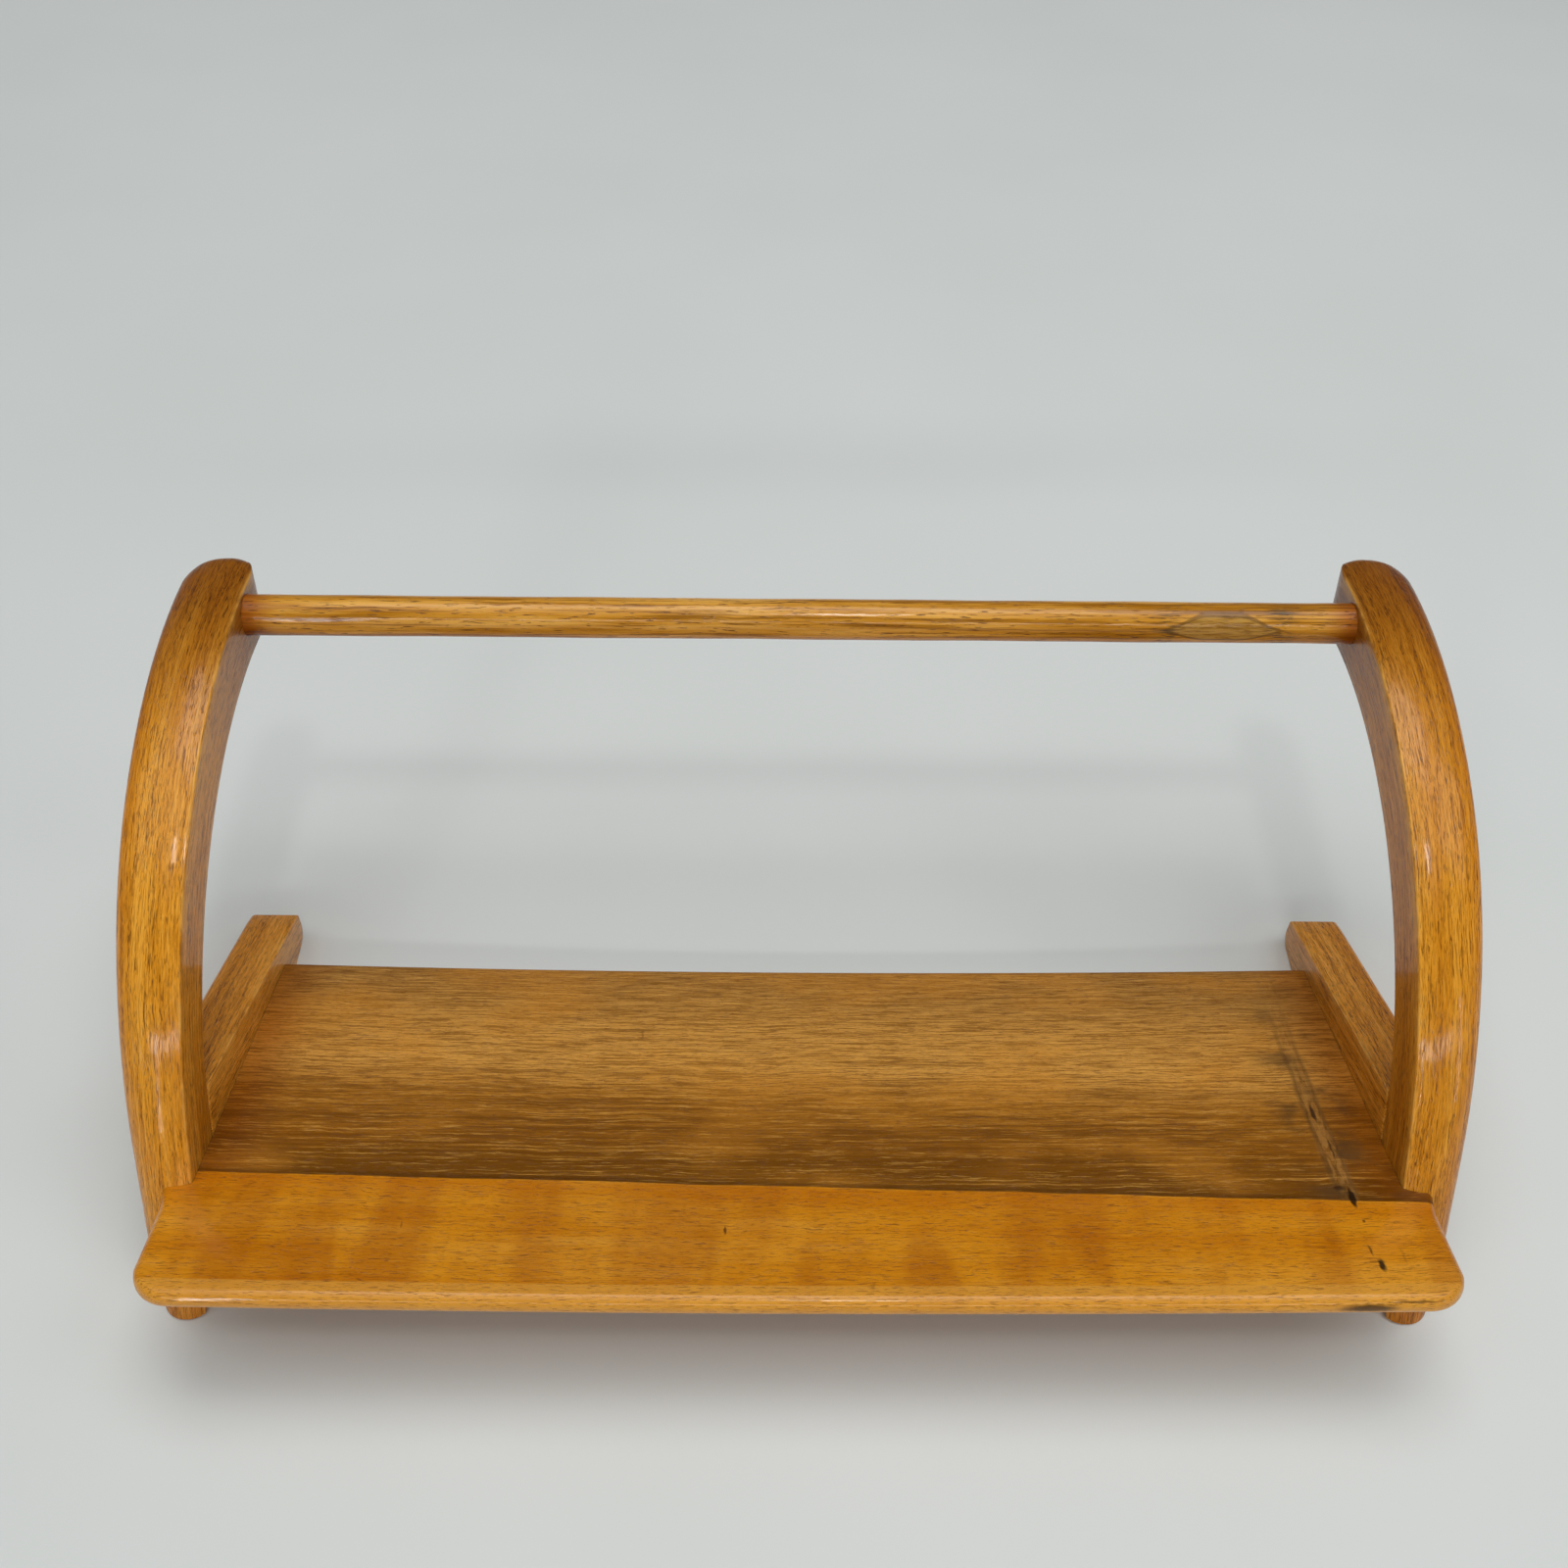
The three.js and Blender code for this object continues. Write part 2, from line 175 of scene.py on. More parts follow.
def cut(piece, tools, crease_angle=CREASE_ANGLE):
    """Takes the tools away from the piece and removes them."""
    for tool in tools:
        step = piece.modifiers.new("cut", "BOOLEAN")
        step.operation = "DIFFERENCE"
        step.solver = "EXACT"
        step.object = tool
        with bpy.context.temp_override(object=piece, active_object=piece):
            bpy.ops.object.modifier_apply(modifier=step.name)
        bpy.data.objects.remove(tool)
    shade(piece, crease_angle)
    return piece


SOCKET_SIDES = 64
HOLE_SIDES = 24
HOLE_SPARE_LENGTH = 0.4 * MM


def rod_tool(name, centre, axis, radius, length, sides=SOCKET_SIDES):
    """A cylinder cutter along an axis, through a centre."""
    axis = Vector(axis).normalized()
    side = axis.orthogonal().normalized()
    other = axis.cross(side)
    rings = []
    for end in (-0.5, 0.5):
        middle = Vector(centre) + axis * length * end
        rings.append([
            middle + radius * (side * math.cos(turn) + other * math.sin(turn))
            for turn in np.linspace(0, 2 * math.pi, sides, endpoint=False)
        ])
    return loft(name, rings)


def add_vectors(piece, name, values):
    layer = piece.data.attributes.new(name, "FLOAT_VECTOR", "POINT")
    layer.data.foreach_set("vector", np.asarray(values, dtype=np.float32).ravel())


def add_numbers(piece, name, values):
    layer = piece.data.attributes.new(name, "FLOAT", "POINT")
    layer.data.foreach_set("value", np.asarray(values, dtype=np.float32))


def ridge(across, below_top):
    """1 on the sharp inner ridge of a bow or leg, and 0 a little way off it."""
    off = math.hypot(across, max(below_top, 0))
    return 1 - smooth(off / RIDGE_REACH)


def points_of(piece):
    flat = np.empty(len(piece.data.vertices) * 3)
    piece.data.vertices.foreach_get("co", flat)
    return flat.reshape(-1, 3)


# ---------------------------------------------------------------------------------------------
# Side bow
# ---------------------------------------------------------------------------------------------

# The tip is rounded over: how far back each side starts to turn in, and how far in it goes.
TIP_INNER = (16 * MM, 9.5 * MM)
TIP_OUTER = (17 * MM, 13 * MM)
TIP_FRONT = (7 * MM, 6 * MM)
TIP_BACK = (5 * MM, 4.5 * MM)
TIP_TURN_SHARE = 0.97
BOW_EDGE_RADIUS = 0.8 * MM
BOW_BACK_OUTER_RADIUS = 4 * MM
INNER_EDGE_LIFT = 0.25 * MM
ROUNDING_CHANGE_SHARE = 0.6
# How depth and thickness change between the ends of the bow: 1 is evenly.
DEPTH_POWER = 1.2
THICKNESS_POWER = 0.75
CROWN_POWER = 0.85
# The eased edge of the foot, as (height, inset) in mm. A cutter starts a little higher instead.
FOOT_EDGE = ((0, 1.6), (0.25, 0.8), (0.8, 0.25), (1.8, 0))
CLEARANCE_START = 2 * MM
# The first ring along the shank above the foot.
FIRST_STATION = 14 * MM


def bow_line(along):
    """The middle of the bow, this far along it from the foot, and the way it heads there."""
    straight = min(along, SHANK_LENGTH)
    turned = max(along - SHANK_LENGTH, 0) / ARCH_RADIUS
    shank_end = step_along(BOW_FOOT, SHANK_ANGLE, straight, 0)
    ahead = ARCH_RADIUS * math.sin(turned)
    aside = ARCH_RADIUS * (math.cos(turned) - 1)
    return step_along(shank_end, SHANK_ANGLE, ahead, aside), SHANK_ANGLE - turned


def bow_half_depth(along):
    if along < WAIST_AT:
        return lerp(WAIST_HALF_DEPTH, FOOT_HALF_DEPTH, (1 - along / WAIST_AT) ** 2)
    swell = min((along - WAIST_AT) / (BOW_LENGTH - WAIST_AT), 1) ** DEPTH_POWER
    return lerp(WAIST_HALF_DEPTH, TIP_HALF_DEPTH, swell)


def bow_thickness(along):
    if along < SHANK_THICKNESS_AT:
        taper = (1 - max(along, 0) / SHANK_THICKNESS_AT) ** 2
        return lerp(SHANK_THICKNESS, FOOT_THICKNESS, taper)
    share = (along - SHANK_THICKNESS_AT) / (BOW_LENGTH - SHANK_THICKNESS_AT)
    return lerp(SHANK_THICKNESS, TIP_THICKNESS, min(share, 1) ** THICKNESS_POWER)


def arc(centre, radius_across, radius_above, start, end, steps, power=1.0):
    """Points on part of an ellipse, from start to end in degrees. A power under 1 squares it."""
    points = []
    for turn in np.linspace(math.radians(start), math.radians(end), steps):
        cos, sin = math.cos(turn), math.sin(turn)
        points.append((
            centre[0] + radius_across * math.copysign(abs(cos) ** power, cos),
            centre[1] + radius_above * math.copysign(abs(sin) ** power, sin),
        ))
    return points


def bow_section(along):
    """(across, above) pairs round the bow, from the back of the inner face over the outside."""
    thickness = bow_thickness(along)
    share = smooth(along / (ROUNDING_CHANGE_SHARE * BOW_LENGTH))
    rounding = lerp(FOOT_OUTER_ROUNDING, ARCH_OUTER_ROUNDING, share)
    half = bow_half_depth(along)
    edge = BOW_EDGE_RADIUS
    crown = CROWN_TOP_SHARE * thickness
    outer = BOW_BACK_OUTER_RADIUS
    points = arc((edge, -half + edge), edge, edge, 180, 270, 4)
    points += [(lerp(edge, thickness - outer, i / 5), -half) for i in (1, 2, 3, 4)]
    points += arc((thickness - outer, -half + outer), outer, outer, 270, 360, 7)
    front = half + CROWN_HEIGHT - rounding
    points += [(thickness, lerp(-half + outer, front, i / 4)) for i in (1, 2, 3)]
    points += arc((crown, front), thickness - crown, rounding, 0, 90, 15, power=CROWN_POWER)
    for share_in in (0.8, 0.6, 0.4, 0.22):
        across = crown * share_in
        points.append((across, half + CROWN_HEIGHT * (1 - (1 - share_in) ** 2)))
    points += arc((edge, half - edge + INNER_EDGE_LIFT), edge, edge, 80, 180, 5)
    points += [(0, lerp(half - edge, -half + edge, i / 5)) for i in (1, 2, 3, 4)]
    return points, thickness, half


def turned_in(to_end, rounding):
    """How far a side has turned in, this close to the end of the tip."""
    reach, depth = rounding
    over = min(max(reach - to_end, 0) / reach, 1)
    return TIP_TURN_SHARE * depth * (1 - math.sqrt(1 - over ** 2))


def bow_ring(along, length, clearance=0.0):
    """One ring of the bow's skin, grown by a clearance where the ring is for a cutter."""
    points, thickness, half = bow_section(along)
    place, angle = bow_line(along)
    to_end = length - along
    inner = turned_in(to_end, TIP_INNER)
    outer = thickness - turned_in(to_end, TIP_OUTER)
    front = half + CROWN_HEIGHT - turned_in(to_end, TIP_FRONT)
    back = -half + turned_in(to_end, TIP_BACK)
    ring = []
    for across, above in points:
        side = lerp(inner, outer, across / thickness)
        rise = lerp(back, front, (above + half) / (2 * half + CROWN_HEIGHT))
        side += clearance * (2 * side / thickness - 1)
        rise += clearance * (1 if above > 0 else -1)
        ring.append(to_frame(INNER_HALF_WIDTH + side, step_along(place, angle, 0, rise)))
    return ring


def on_floor(ring, height, inset=0.0):
    """Slides a ring of the straight shank along it, so that all of it lies at one height."""
    heading = Vector((0, math.cos(SHANK_ANGLE), math.sin(SHANK_ANGLE)))
    placed = [point + heading * ((height - point.z) / heading.z) for point in ring]
    middle = sum(placed, Vector()) / len(placed)
    return [point + (middle - point).normalized() * inset for point in placed]


def bow_stations(length):
    stations = list(np.linspace(FIRST_STATION, SHANK_LENGTH, 10))
    arch_end = length - TIP_OUTER[0]
    stations += list(np.linspace(SHANK_LENGTH, arch_end, 80))[1:]
    turns = np.linspace(0, math.pi / 2, 22)[1:]
    stations += [arch_end + TIP_OUTER[0] * math.sin(turn) for turn in turns]
    return stations


def bow_blank(name, length, clearance=0.0):
    foot = bow_ring(0, length, clearance)
    rings = [on_floor(foot, height * MM, inset * MM) for height, inset in FOOT_EDGE]
    if clearance:
        rings = [on_floor(foot, CLEARANCE_START)]
    rings += [bow_ring(along, length, clearance) for along in bow_stations(length)]
    return flipped(loft(name, rings))


def mirror(piece):
    piece.data.transform(Matrix.Scale(-1, 4, (1, 0, 0)))
    piece.data.flip_normals()
    return piece


def dowel_holes(nodes):
    """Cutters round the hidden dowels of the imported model, a little wider than they are."""
    cos, sin = math.cos(LEG_ANGLE), math.sin(LEG_ANGLE)
    tools = []
    for node in nodes:
        low, high = (Vector(corner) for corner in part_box(node))
        centre = (low + high) / 2
        if "shelf" in node:
            radius, length, axis = (high.z - low.z) / 2, high.x - low.x, (1, 0, 0)
        else:
            radius = (high.x - low.x) / 2
            length = (high.y - low.y - 2 * radius * abs(sin)) / cos
            axis = (0, cos, sin)
        hole_length = length + HOLE_SPARE_LENGTH
        tools.append(rod_tool("hole", centre, axis, radius + JOINT_GAP, hole_length, HOLE_SIDES))
    return tools


def side_nodes(side, *kinds):
    """The names of one side's hidden dowels, of one kind after the other."""
    names = []
    for kind in kinds:
        names += sorted(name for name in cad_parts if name.startswith(f"{side}_{kind}_dowel"))
    return names


def make_bow(side, sign, extra):
    piece = bow_blank(f"{side}_bow_wood", BOW_LENGTH + extra)
    if sign < 0:
        mirror(piece)
    socket = rod_tool("socket", ROD_CENTRE, (1, 0, 0), ROD_RADIUS + JOINT_GAP, ROD_LENGTH)
    cut(piece, [socket] + dowel_holes(side_nodes(side, "leg", "shelf")))
    grain = [bow_grain(point, sign) for point in points_of(piece)]
    add_vectors(piece, "grain", grain)
    ridges = [ridge(across, bow_half_depth(along) - above) for along, across, above in grain]
    add_numbers(piece, "ridge", ridges)
    return piece


def bow_grain(point, sign):
    """(along, across, above) of a point of the bow, so that the grain follows its bend."""
    across = sign * point[0] - INNER_HALF_WIDTH
    back, up = point[1] - FRONT_FOOT_Y, point[2]
    end = step_along(BOW_FOOT, SHANK_ANGLE, SHANK_LENGTH, 0)
    centre = step_along(end, SHANK_ANGLE, 0, -ARCH_RADIUS)
    turned = SHANK_ANGLE + math.pi / 2 - math.atan2(up - centre[1], back - centre[0])
    if turned > 0:
        reach = math.hypot(up - centre[1], back - centre[0])
        return SHANK_LENGTH + turned * ARCH_RADIUS, across, reach - ARCH_RADIUS
    heading = (math.cos(SHANK_ANGLE), math.sin(SHANK_ANGLE))
    over = (back - BOW_FOOT[0], up)
    along = over[0] * heading[0] + over[1] * heading[1]
    return along, across, over[1] * heading[0] - over[0] * heading[1]


# ---------------------------------------------------------------------------------------------
# Rear leg
# ---------------------------------------------------------------------------------------------

LEG_INNER_EDGE = 0.6 * MM
LEG_OUTER_EDGE = 2.2 * MM
LEG_HEEL_RADIUS = 1.5 * MM


def steps_between(start, end, shares):
    return [(lerp(start[0], end[0], share), lerp(start[1], end[1], share)) for share in shares]


def leg_outline():
    """(back, up) points round the leg: along the top, round the toe, the flat foot, the joint."""
    fall = math.tan(LEG_ANGLE)
    slope = math.tan(SHANK_ANGLE)
    start_back, start_up = LEG_TOP_START
    end_up = start_up + (LEG_END_BACK - start_back) * fall
    drop = LEG_DEPTH / math.cos(LEG_ANGLE)
    seat_back = start_back + (drop - start_up) / fall
    under_back = start_back - drop / (slope - fall)
    under_up = start_up - (start_back - under_back) * slope
    heel = LEG_HEEL_RADIUS
    toe = LEG_TOE_RADIUS
    top_start = (start_back, start_up)
    top_end = (LEG_END_BACK - heel, end_up - heel * fall)
    foot_end = (LEG_END_BACK - toe, 0.0)
    seat = (seat_back, 0.0)
    under = (under_back, under_up)
    points = steps_between(top_start, top_end, [i / 24 for i in range(24)])
    points += arc((LEG_END_BACK - heel, end_up - heel), heel, heel, 72, 0, 5)
    points += arc((LEG_END_BACK - toe, toe), toe, toe, 0, -90, 9)
    points += steps_between(foot_end, seat, [i / 5 for i in range(1, 6)])
    points += steps_between(seat, under, [i / 16 for i in range(1, 17)])
    points += steps_between(under, top_start, [i / 5 for i in range(1, 5)])
    return [Vector((back, up)) for back, up in points]


def pulled_in(outline, inset):
    """The outline moved inwards by an inset, square to its own edges."""
    moved = []
    count = len(outline)
    for i, point in enumerate(outline):
        before = (point - outline[i - 1]).normalized()
        after = (outline[(i + 1) % count] - point).normalized()
        mean = (before + after).normalized()
        lean = max(mean.dot(after), 0.5)
        moved.append(point + Vector((mean.y, -mean.x)) * inset / lean)
    return moved


def edge_stations(thickness, inner, outer):
    """(across, inset) steps through a thickness, with a round edge on each side."""
    turns = np.linspace(0, math.pi / 2, 5)
    steps = [(inner * (1 - math.cos(turn)), inner * (1 - math.sin(turn))) for turn in turns]
    steps += [(lerp(inner, thickness - outer, i / 5), 0.0) for i in (1, 2, 3, 4)]
    turns = np.linspace(math.pi / 2, 0, 7)
    steps += [
        (thickness - outer * (1 - math.cos(turn)), outer * (1 - math.sin(turn))) for turn in turns
    ]
    return steps


def make_leg(side, sign):
    outline = leg_outline()
    rings = []
    for across, inset in edge_stations(LEG_THICKNESS, LEG_INNER_EDGE, LEG_OUTER_EDGE):
        ring = pulled_in(outline, inset)
        rings.append([to_frame(INNER_HALF_WIDTH + across, point) for point in ring])
    piece = flipped(loft(f"{side}_rear_leg_wood", rings, SOFT_CREASE_ANGLE))
    if sign < 0:
        mirror(piece)
    cut(piece, dowel_holes(side_nodes(side, "leg", "shelf")), SOFT_CREASE_ANGLE)
    grain = [leg_grain(point, sign) for point in points_of(piece)]
    add_vectors(piece, "grain", grain)
    add_numbers(piece, "ridge", [ridge(across, -above) for _, across, above in grain])
    return piece


def leg_grain(point, sign):
    back, up = point[1] - FRONT_FOOT_Y - LEG_TOP_START[0], point[2] - LEG_TOP_START[1]
    cos, sin = math.cos(LEG_ANGLE), math.sin(LEG_ANGLE)
    return back * cos + up * sin, sign * point[0] - INNER_HALF_WIDTH, up * cos - back * sin


# ---------------------------------------------------------------------------------------------
# Shelf board
# ---------------------------------------------------------------------------------------------

SHELF_REAR_RADIUS = 1.6 * MM
LEAST_HALF_THICKNESS = 0.1 * MM
# The ears flare outwards only this far out from the middle, and fully after the blend.
EAR_FLARE_FROM = 200 * MM
EAR_FLARE_BLEND = 20 * MM
# The block behind each bow: how far out it goes, and where along and how far off the shank.
NOTCH_WIDTH = 40 * MM
NOTCH_MIDDLE = 45 * MM
NOTCH_HALF_LENGTH = 60 * MM
NOTCH_REACH = 200 * MM


def shelf_sag(across):
    return SHELF_SAG * max(1 - (across / INNER_HALF_WIDTH) ** 2, 0)


def shelf_section(half, nose_run):
    rear = SHELF_LENGTH - SHELF_HALF_THICKNESS
    soft = min(SHELF_REAR_RADIUS, half)
    points = arc((nose_run, 0), -half, half, 90, -90, 19)
    points += [(lerp(nose_run, rear - soft, i / 12), -half) for i in range(1, 12)]
    points += arc((rear - soft, -half + soft), soft, soft, 270, 360, 6)
    points += arc((rear - soft, half - soft), soft, soft, 0, 90, 6)
    points += [(lerp(rear - soft, nose_run, i / 12), half) for i in range(1, 12)]
    return points


def ear_flare(run):
    start, end = EAR_FLARE_RUNS
    return EAR_FLARE * smooth((run - start) / (end - start))


def shelf_ring(across):
    reach = abs(across)
    full = SHELF_HALF_THICKNESS
    over_edge = max(reach - (EAR_HALF_WIDTH - full), 0)
    over_corner = max(reach - (EAR_HALF_WIDTH - EAR_CORNER_RADIUS), 0)
    half = math.sqrt(max(full ** 2 - over_edge ** 2, LEAST_HALF_THICKNESS ** 2))
    nose_back = EAR_CORNER_RADIUS - math.sqrt(max(EAR_CORNER_RADIUS ** 2 - over_corner ** 2, 0))
    nose_run = nose_back - (full - half)
    ring = []
    in_ear = smooth((reach - EAR_FLARE_FROM) / EAR_FLARE_BLEND)
    for run, above in shelf_section(half, nose_run):
        place = step_along(SHELF_NOSE, SHELF_ANGLE, run, above)
        outward = math.copysign(ear_flare(run) * in_ear, across)
        ring.append(to_frame(across + outward, (place[0], place[1] - shelf_sag(across))))
    return ring


def shelf_stations():
    flat = list(np.linspace(0, EAR_HALF_WIDTH - EAR_CORNER_RADIUS, 34))
    turns = np.linspace(0, math.pi / 2, 22)[1:]
    ends = [EAR_HALF_WIDTH - EAR_CORNER_RADIUS * (1 - math.sin(turn)) for turn in turns]
    right = flat[1:] + ends
    return [-x for x in reversed(right)] + [0.0] + right


def notch_block(sign):
    """Clears the board away beside and behind the bow, up to the middle of its depth."""
    near, far = INNER_HALF_WIDTH - JOINT_GAP, INNER_HALF_WIDTH + NOTCH_WIDTH
    low, high = -NOTCH_HALF_LENGTH, NOTCH_HALF_LENGTH
    outline = ((low, 0), (low * 3, -NOTCH_REACH), (high * 3, -NOTCH_REACH), (high, 0))
    corners = []
    for across in (near, far):
        ring = [
            step_along(BOW_FOOT, SHANK_ANGLE, NOTCH_MIDDLE + along, above)
            for along, above in outline
        ]
        corners.append([to_frame(sign * across, place) for place in ring])
    block = loft("notch", corners)
    return flipped(block) if sign < 0 else block


def make_shelf():
    rings = [shelf_ring(across) for across in shelf_stations()]
    piece = loft("shelf_wood", rings, SOFT_CREASE_ANGLE)
    tools = []
    for side, sign, _ in SIDES:
        bow = bow_blank("bow_clearance", BOW_LENGTH, JOINT_GAP)
        if sign < 0:
            mirror(bow)
        tools += [bow, notch_block(sign)]
        tools += dowel_holes(side_nodes(side, "shelf"))
    cut(piece, tools, SOFT_CREASE_ANGLE)
    add_vectors(piece, "grain", [shelf_grain(point) for point in points_of(piece)])
    return piece


def shelf_grain(point):
    """(across the rack, run down the slope, above the middle) of a point of the board."""
    back = point[1] - FRONT_FOOT_Y - SHELF_NOSE[0]
    up = point[2] + shelf_sag(point[0]) - SHELF_NOSE[1]
    cos, sin = math.cos(SHELF_ANGLE), math.sin(SHELF_ANGLE)
    return point[0], back * cos + up * sin, up * cos - back * sin


# ---------------------------------------------------------------------------------------------
# Back rod
# ---------------------------------------------------------------------------------------------

ROD_CHAMFER = 0.8 * MM
ROD_SIDES = 72
ROD_RINGS = 90
# The rod's radius is sanded down by this much, give or take two slow waves along it, each with
# its size, its radians a metre and its start. The sanding fades out in front of the sockets.
ROD_SANDED = 0.1 * MM
ROD_WAVES = ((0.06 * MM, 61, 0), (0.04 * MM, 147, 1))
SOCKET_START = 20 * MM
SOCKET_BLEND = 15 * MM


def make_rod():
    """A turned rod that is a touch uneven along its length, as a sanded dowel is."""
    half = ROD_LENGTH / 2
    inside = half - ROD_CHAMFER
    steps = [(-half, -ROD_CHAMFER)]
    steps += [(x, 0.0) for x in np.linspace(-inside, inside, ROD_RINGS)]
    steps += [(half, -ROD_CHAMFER)]
    rings = []
    for across, less in steps:
        uneven = sum(size * math.sin(across * wave + start) for size, wave, start in ROD_WAVES)
        in_socket = smooth((abs(across) - INNER_HALF_WIDTH + SOCKET_START) / SOCKET_BLEND)
        radius = ROD_RADIUS + less - (ROD_SANDED - uneven) * (1 - in_socket)
        rings.append([
            ROD_CENTRE + Vector((across, radius * math.cos(turn), radius * math.sin(turn)))
            for turn in np.linspace(0, 2 * math.pi, ROD_SIDES, endpoint=False)
        ])
    piece = loft("back_rod_wood", rings)
    add_vectors(piece, "grain", points_of(piece) - np.array(ROD_CENTRE))
    return piece


# ---------------------------------------------------------------------------------------------
# Materials
# ---------------------------------------------------------------------------------------------

class Graph:
    """Short names for the shader nodes that the woods are made of."""

    def __init__(self, name):
        self.material = bpy.data.materials.new(name)
        self.material.use_nodes = True
        self.tree = self.material.node_tree
        self.shader = self.tree.nodes["Principled BSDF"]

    def put(self, socket, value):
        if isinstance(value, bpy.types.NodeSocket):
            self.tree.links.new(value, socket)
        else:
            socket.default_value = value

    def node(self, kind, inputs=(), **settings):
        made = self.tree.nodes.new(kind)
        for key, value in settings.items():
            setattr(made, key, value)
        for key, value in dict(inputs).items():
            self.put(made.inputs[key], value)
        return made

    def grain(self):
        return self.node("ShaderNodeAttribute", attribute_name="grain").outputs["Vector"]

    def split(self, vector):
        return self.node("ShaderNodeSeparateXYZ", {0: vector}).outputs

    def math(self, operation, a, b=0.0, c=0.0):
        made = self.node("ShaderNodeMath", {0: a, 1: b, 2: c}, operation=operation)
        return made.outputs[0]

    def times(self, a, b):
        return self.math("MULTIPLY", a, b)

    def minus(self, a, b):
        return self.math("SUBTRACT", a, b)

    def distance(self, a, b):
        return self.math("ABSOLUTE", self.minus(a, b))

    def stretch(self, vector, scale, shift):
        inputs = {0: vector, 1: scale, 2: shift}
        return self.node("ShaderNodeVectorMath", inputs, operation="MULTIPLY_ADD").outputs[0]

    def noise(self, vector, scale, detail=3.0, roughness=0.55, shift=(0, 0, 0), distortion=0.0):
        """Noise of about 0.3 to 0.7. The scale is one number for each axis, in patches a metre."""
        inputs = {
            "Vector": self.stretch(vector, scale, shift),
            "Scale": 1.0,
            "Detail": detail,
            "Roughness": roughness,
            "Distortion": distortion,
        }
        return self.node("ShaderNodeTexNoise", inputs).outputs["Fac"]

    def band(self, value, low, high, start=0.0, end=1.0):
        """Goes from start to end, smoothly, as the value goes from low to high."""
        inputs = {
            "Value": value,
            "From Min": low,
            "From Max": high,
            "To Min": start,
            "To Max": end,
        }
        return self.node("ShaderNodeMapRange", inputs, interpolation_type="SMOOTHSTEP").outputs[0]

    def ramp(self, value, stops):
        made = self.node("ShaderNodeValToRGB", {0: value})
        elements = made.color_ramp.elements
        while len(elements) < len(stops):
            elements.new(0.5)
        for element, (place, colour) in zip(elements, stops):
            element.position = place
            element.color = (*colour, 1.0)
        return made.outputs[0]

    def mix(self, share, a, b, mode="MIX"):
        made = self.node("ShaderNodeMix", data_type="RGBA", blend_type=mode)
        self.put(made.inputs[0], share)
        for index, colour in ((6, a), (7, b)):
            value = colour if isinstance(colour, bpy.types.NodeSocket) else (*colour, 1.0)
            self.put(made.inputs[index], value)
        return made.outputs[2]

    def finish(self, colour, roughness, height, bump=0.35, distance=0.3 * MM, **uniform):
        """Wires the shader. What is uniform is set on the shader's own sockets."""
        self.put(self.shader.inputs["Base Color"], colour)
        self.put(self.shader.inputs["Roughness"], roughness)
        inputs = {"Height": height, "Strength": bump, "Distance": distance}
        bumped = self.node("ShaderNodeBump", inputs)
        self.put(self.shader.inputs["Normal"], bumped.outputs[0])
        self.put(self.shader.inputs["Coat Normal"], bumped.outputs[0])
        for key, value in uniform.items():
            self.shader.inputs[key.replace("_", " ")].default_value = value
        return self.material


def pores(g, grain, length, width, shift, low, high):
    """Fine dark dashes along the grain, 0 to 1. A lower low and high give more of them."""
    scale = (1 / length, 1 / width, 1 / width)
    fleck = g.noise(grain, scale, detail=2.0, roughness=0.5, shift=shift)
    return g.band(fleck, low, high)


def wander(g, grain, reach, wave, shift):
    """Lets the grain drift sideways by up to half the reach, in waves of the given length."""
    drift = g.node("ShaderNodeTexNoise", {
        "Vector": g.stretch(grain, (1 / wave, 0.4 / wave, 0.4 / wave), shift),
        "Scale": 1.0,
        "Detail": 2.0,
    }).outputs["Color"]
    return g.stretch(drift, (0, reach, reach), grain)


VARNISH = {
    "Coat_Weight": 0.5,
    "Coat_Roughness": 0.08,
    "Coat_IOR": 1.5,
    "IOR": 1.4,
    "Specular_IOR_Level": 0.22,
    "Specular_Tint": (1.0, 0.55, 0.18, 1.0),
}
WOOD_BUMP = 0.30

# Tones are multiplied into a whole piece, and tints into a part of it.
# The right bow's darker tone is painted shade: it stands in for the weaker light on that side.
BOW_TONES_AND_SHADE = {"left": (1.0, 1.0, 1.0), "right": (0.91, 0.88, 0.75)}
LEG_TONE = (1.04, 1.04, 1.50)
OUTSIDE_TINT = (0.92, 0.78, 0.90)
TIP_TINT = (0.41, 0.32, 0.20)
FOOT_TINT = (0.82, 0.72, 0.72)

FRAME_RAMP = (
    (0.32, (0.640, 0.225, 0.0060)),
    (0.50, (0.750, 0.295, 0.0150)),
    (0.68, (0.860, 0.375, 0.0340)),
)
FRAME_LINE = (0.320, 0.095, 0.0020)
FRAME_BETWEEN = (0.930, 0.460, 0.0700)
FRAME_DARK_FIBRE = (0.330, 0.100, 0.0020)
FRAME_LIGHT_FIBRE = (0.980, 0.520, 0.0950)
FRAME_PORE = (0.120, 0.032, 0.0015)
# Paler colour of the inner ridges: partly wear of the varnish, partly a painted highlight.
FRAME_WEAR_AND_SHEEN = (0.950, 0.500, 0.1000)


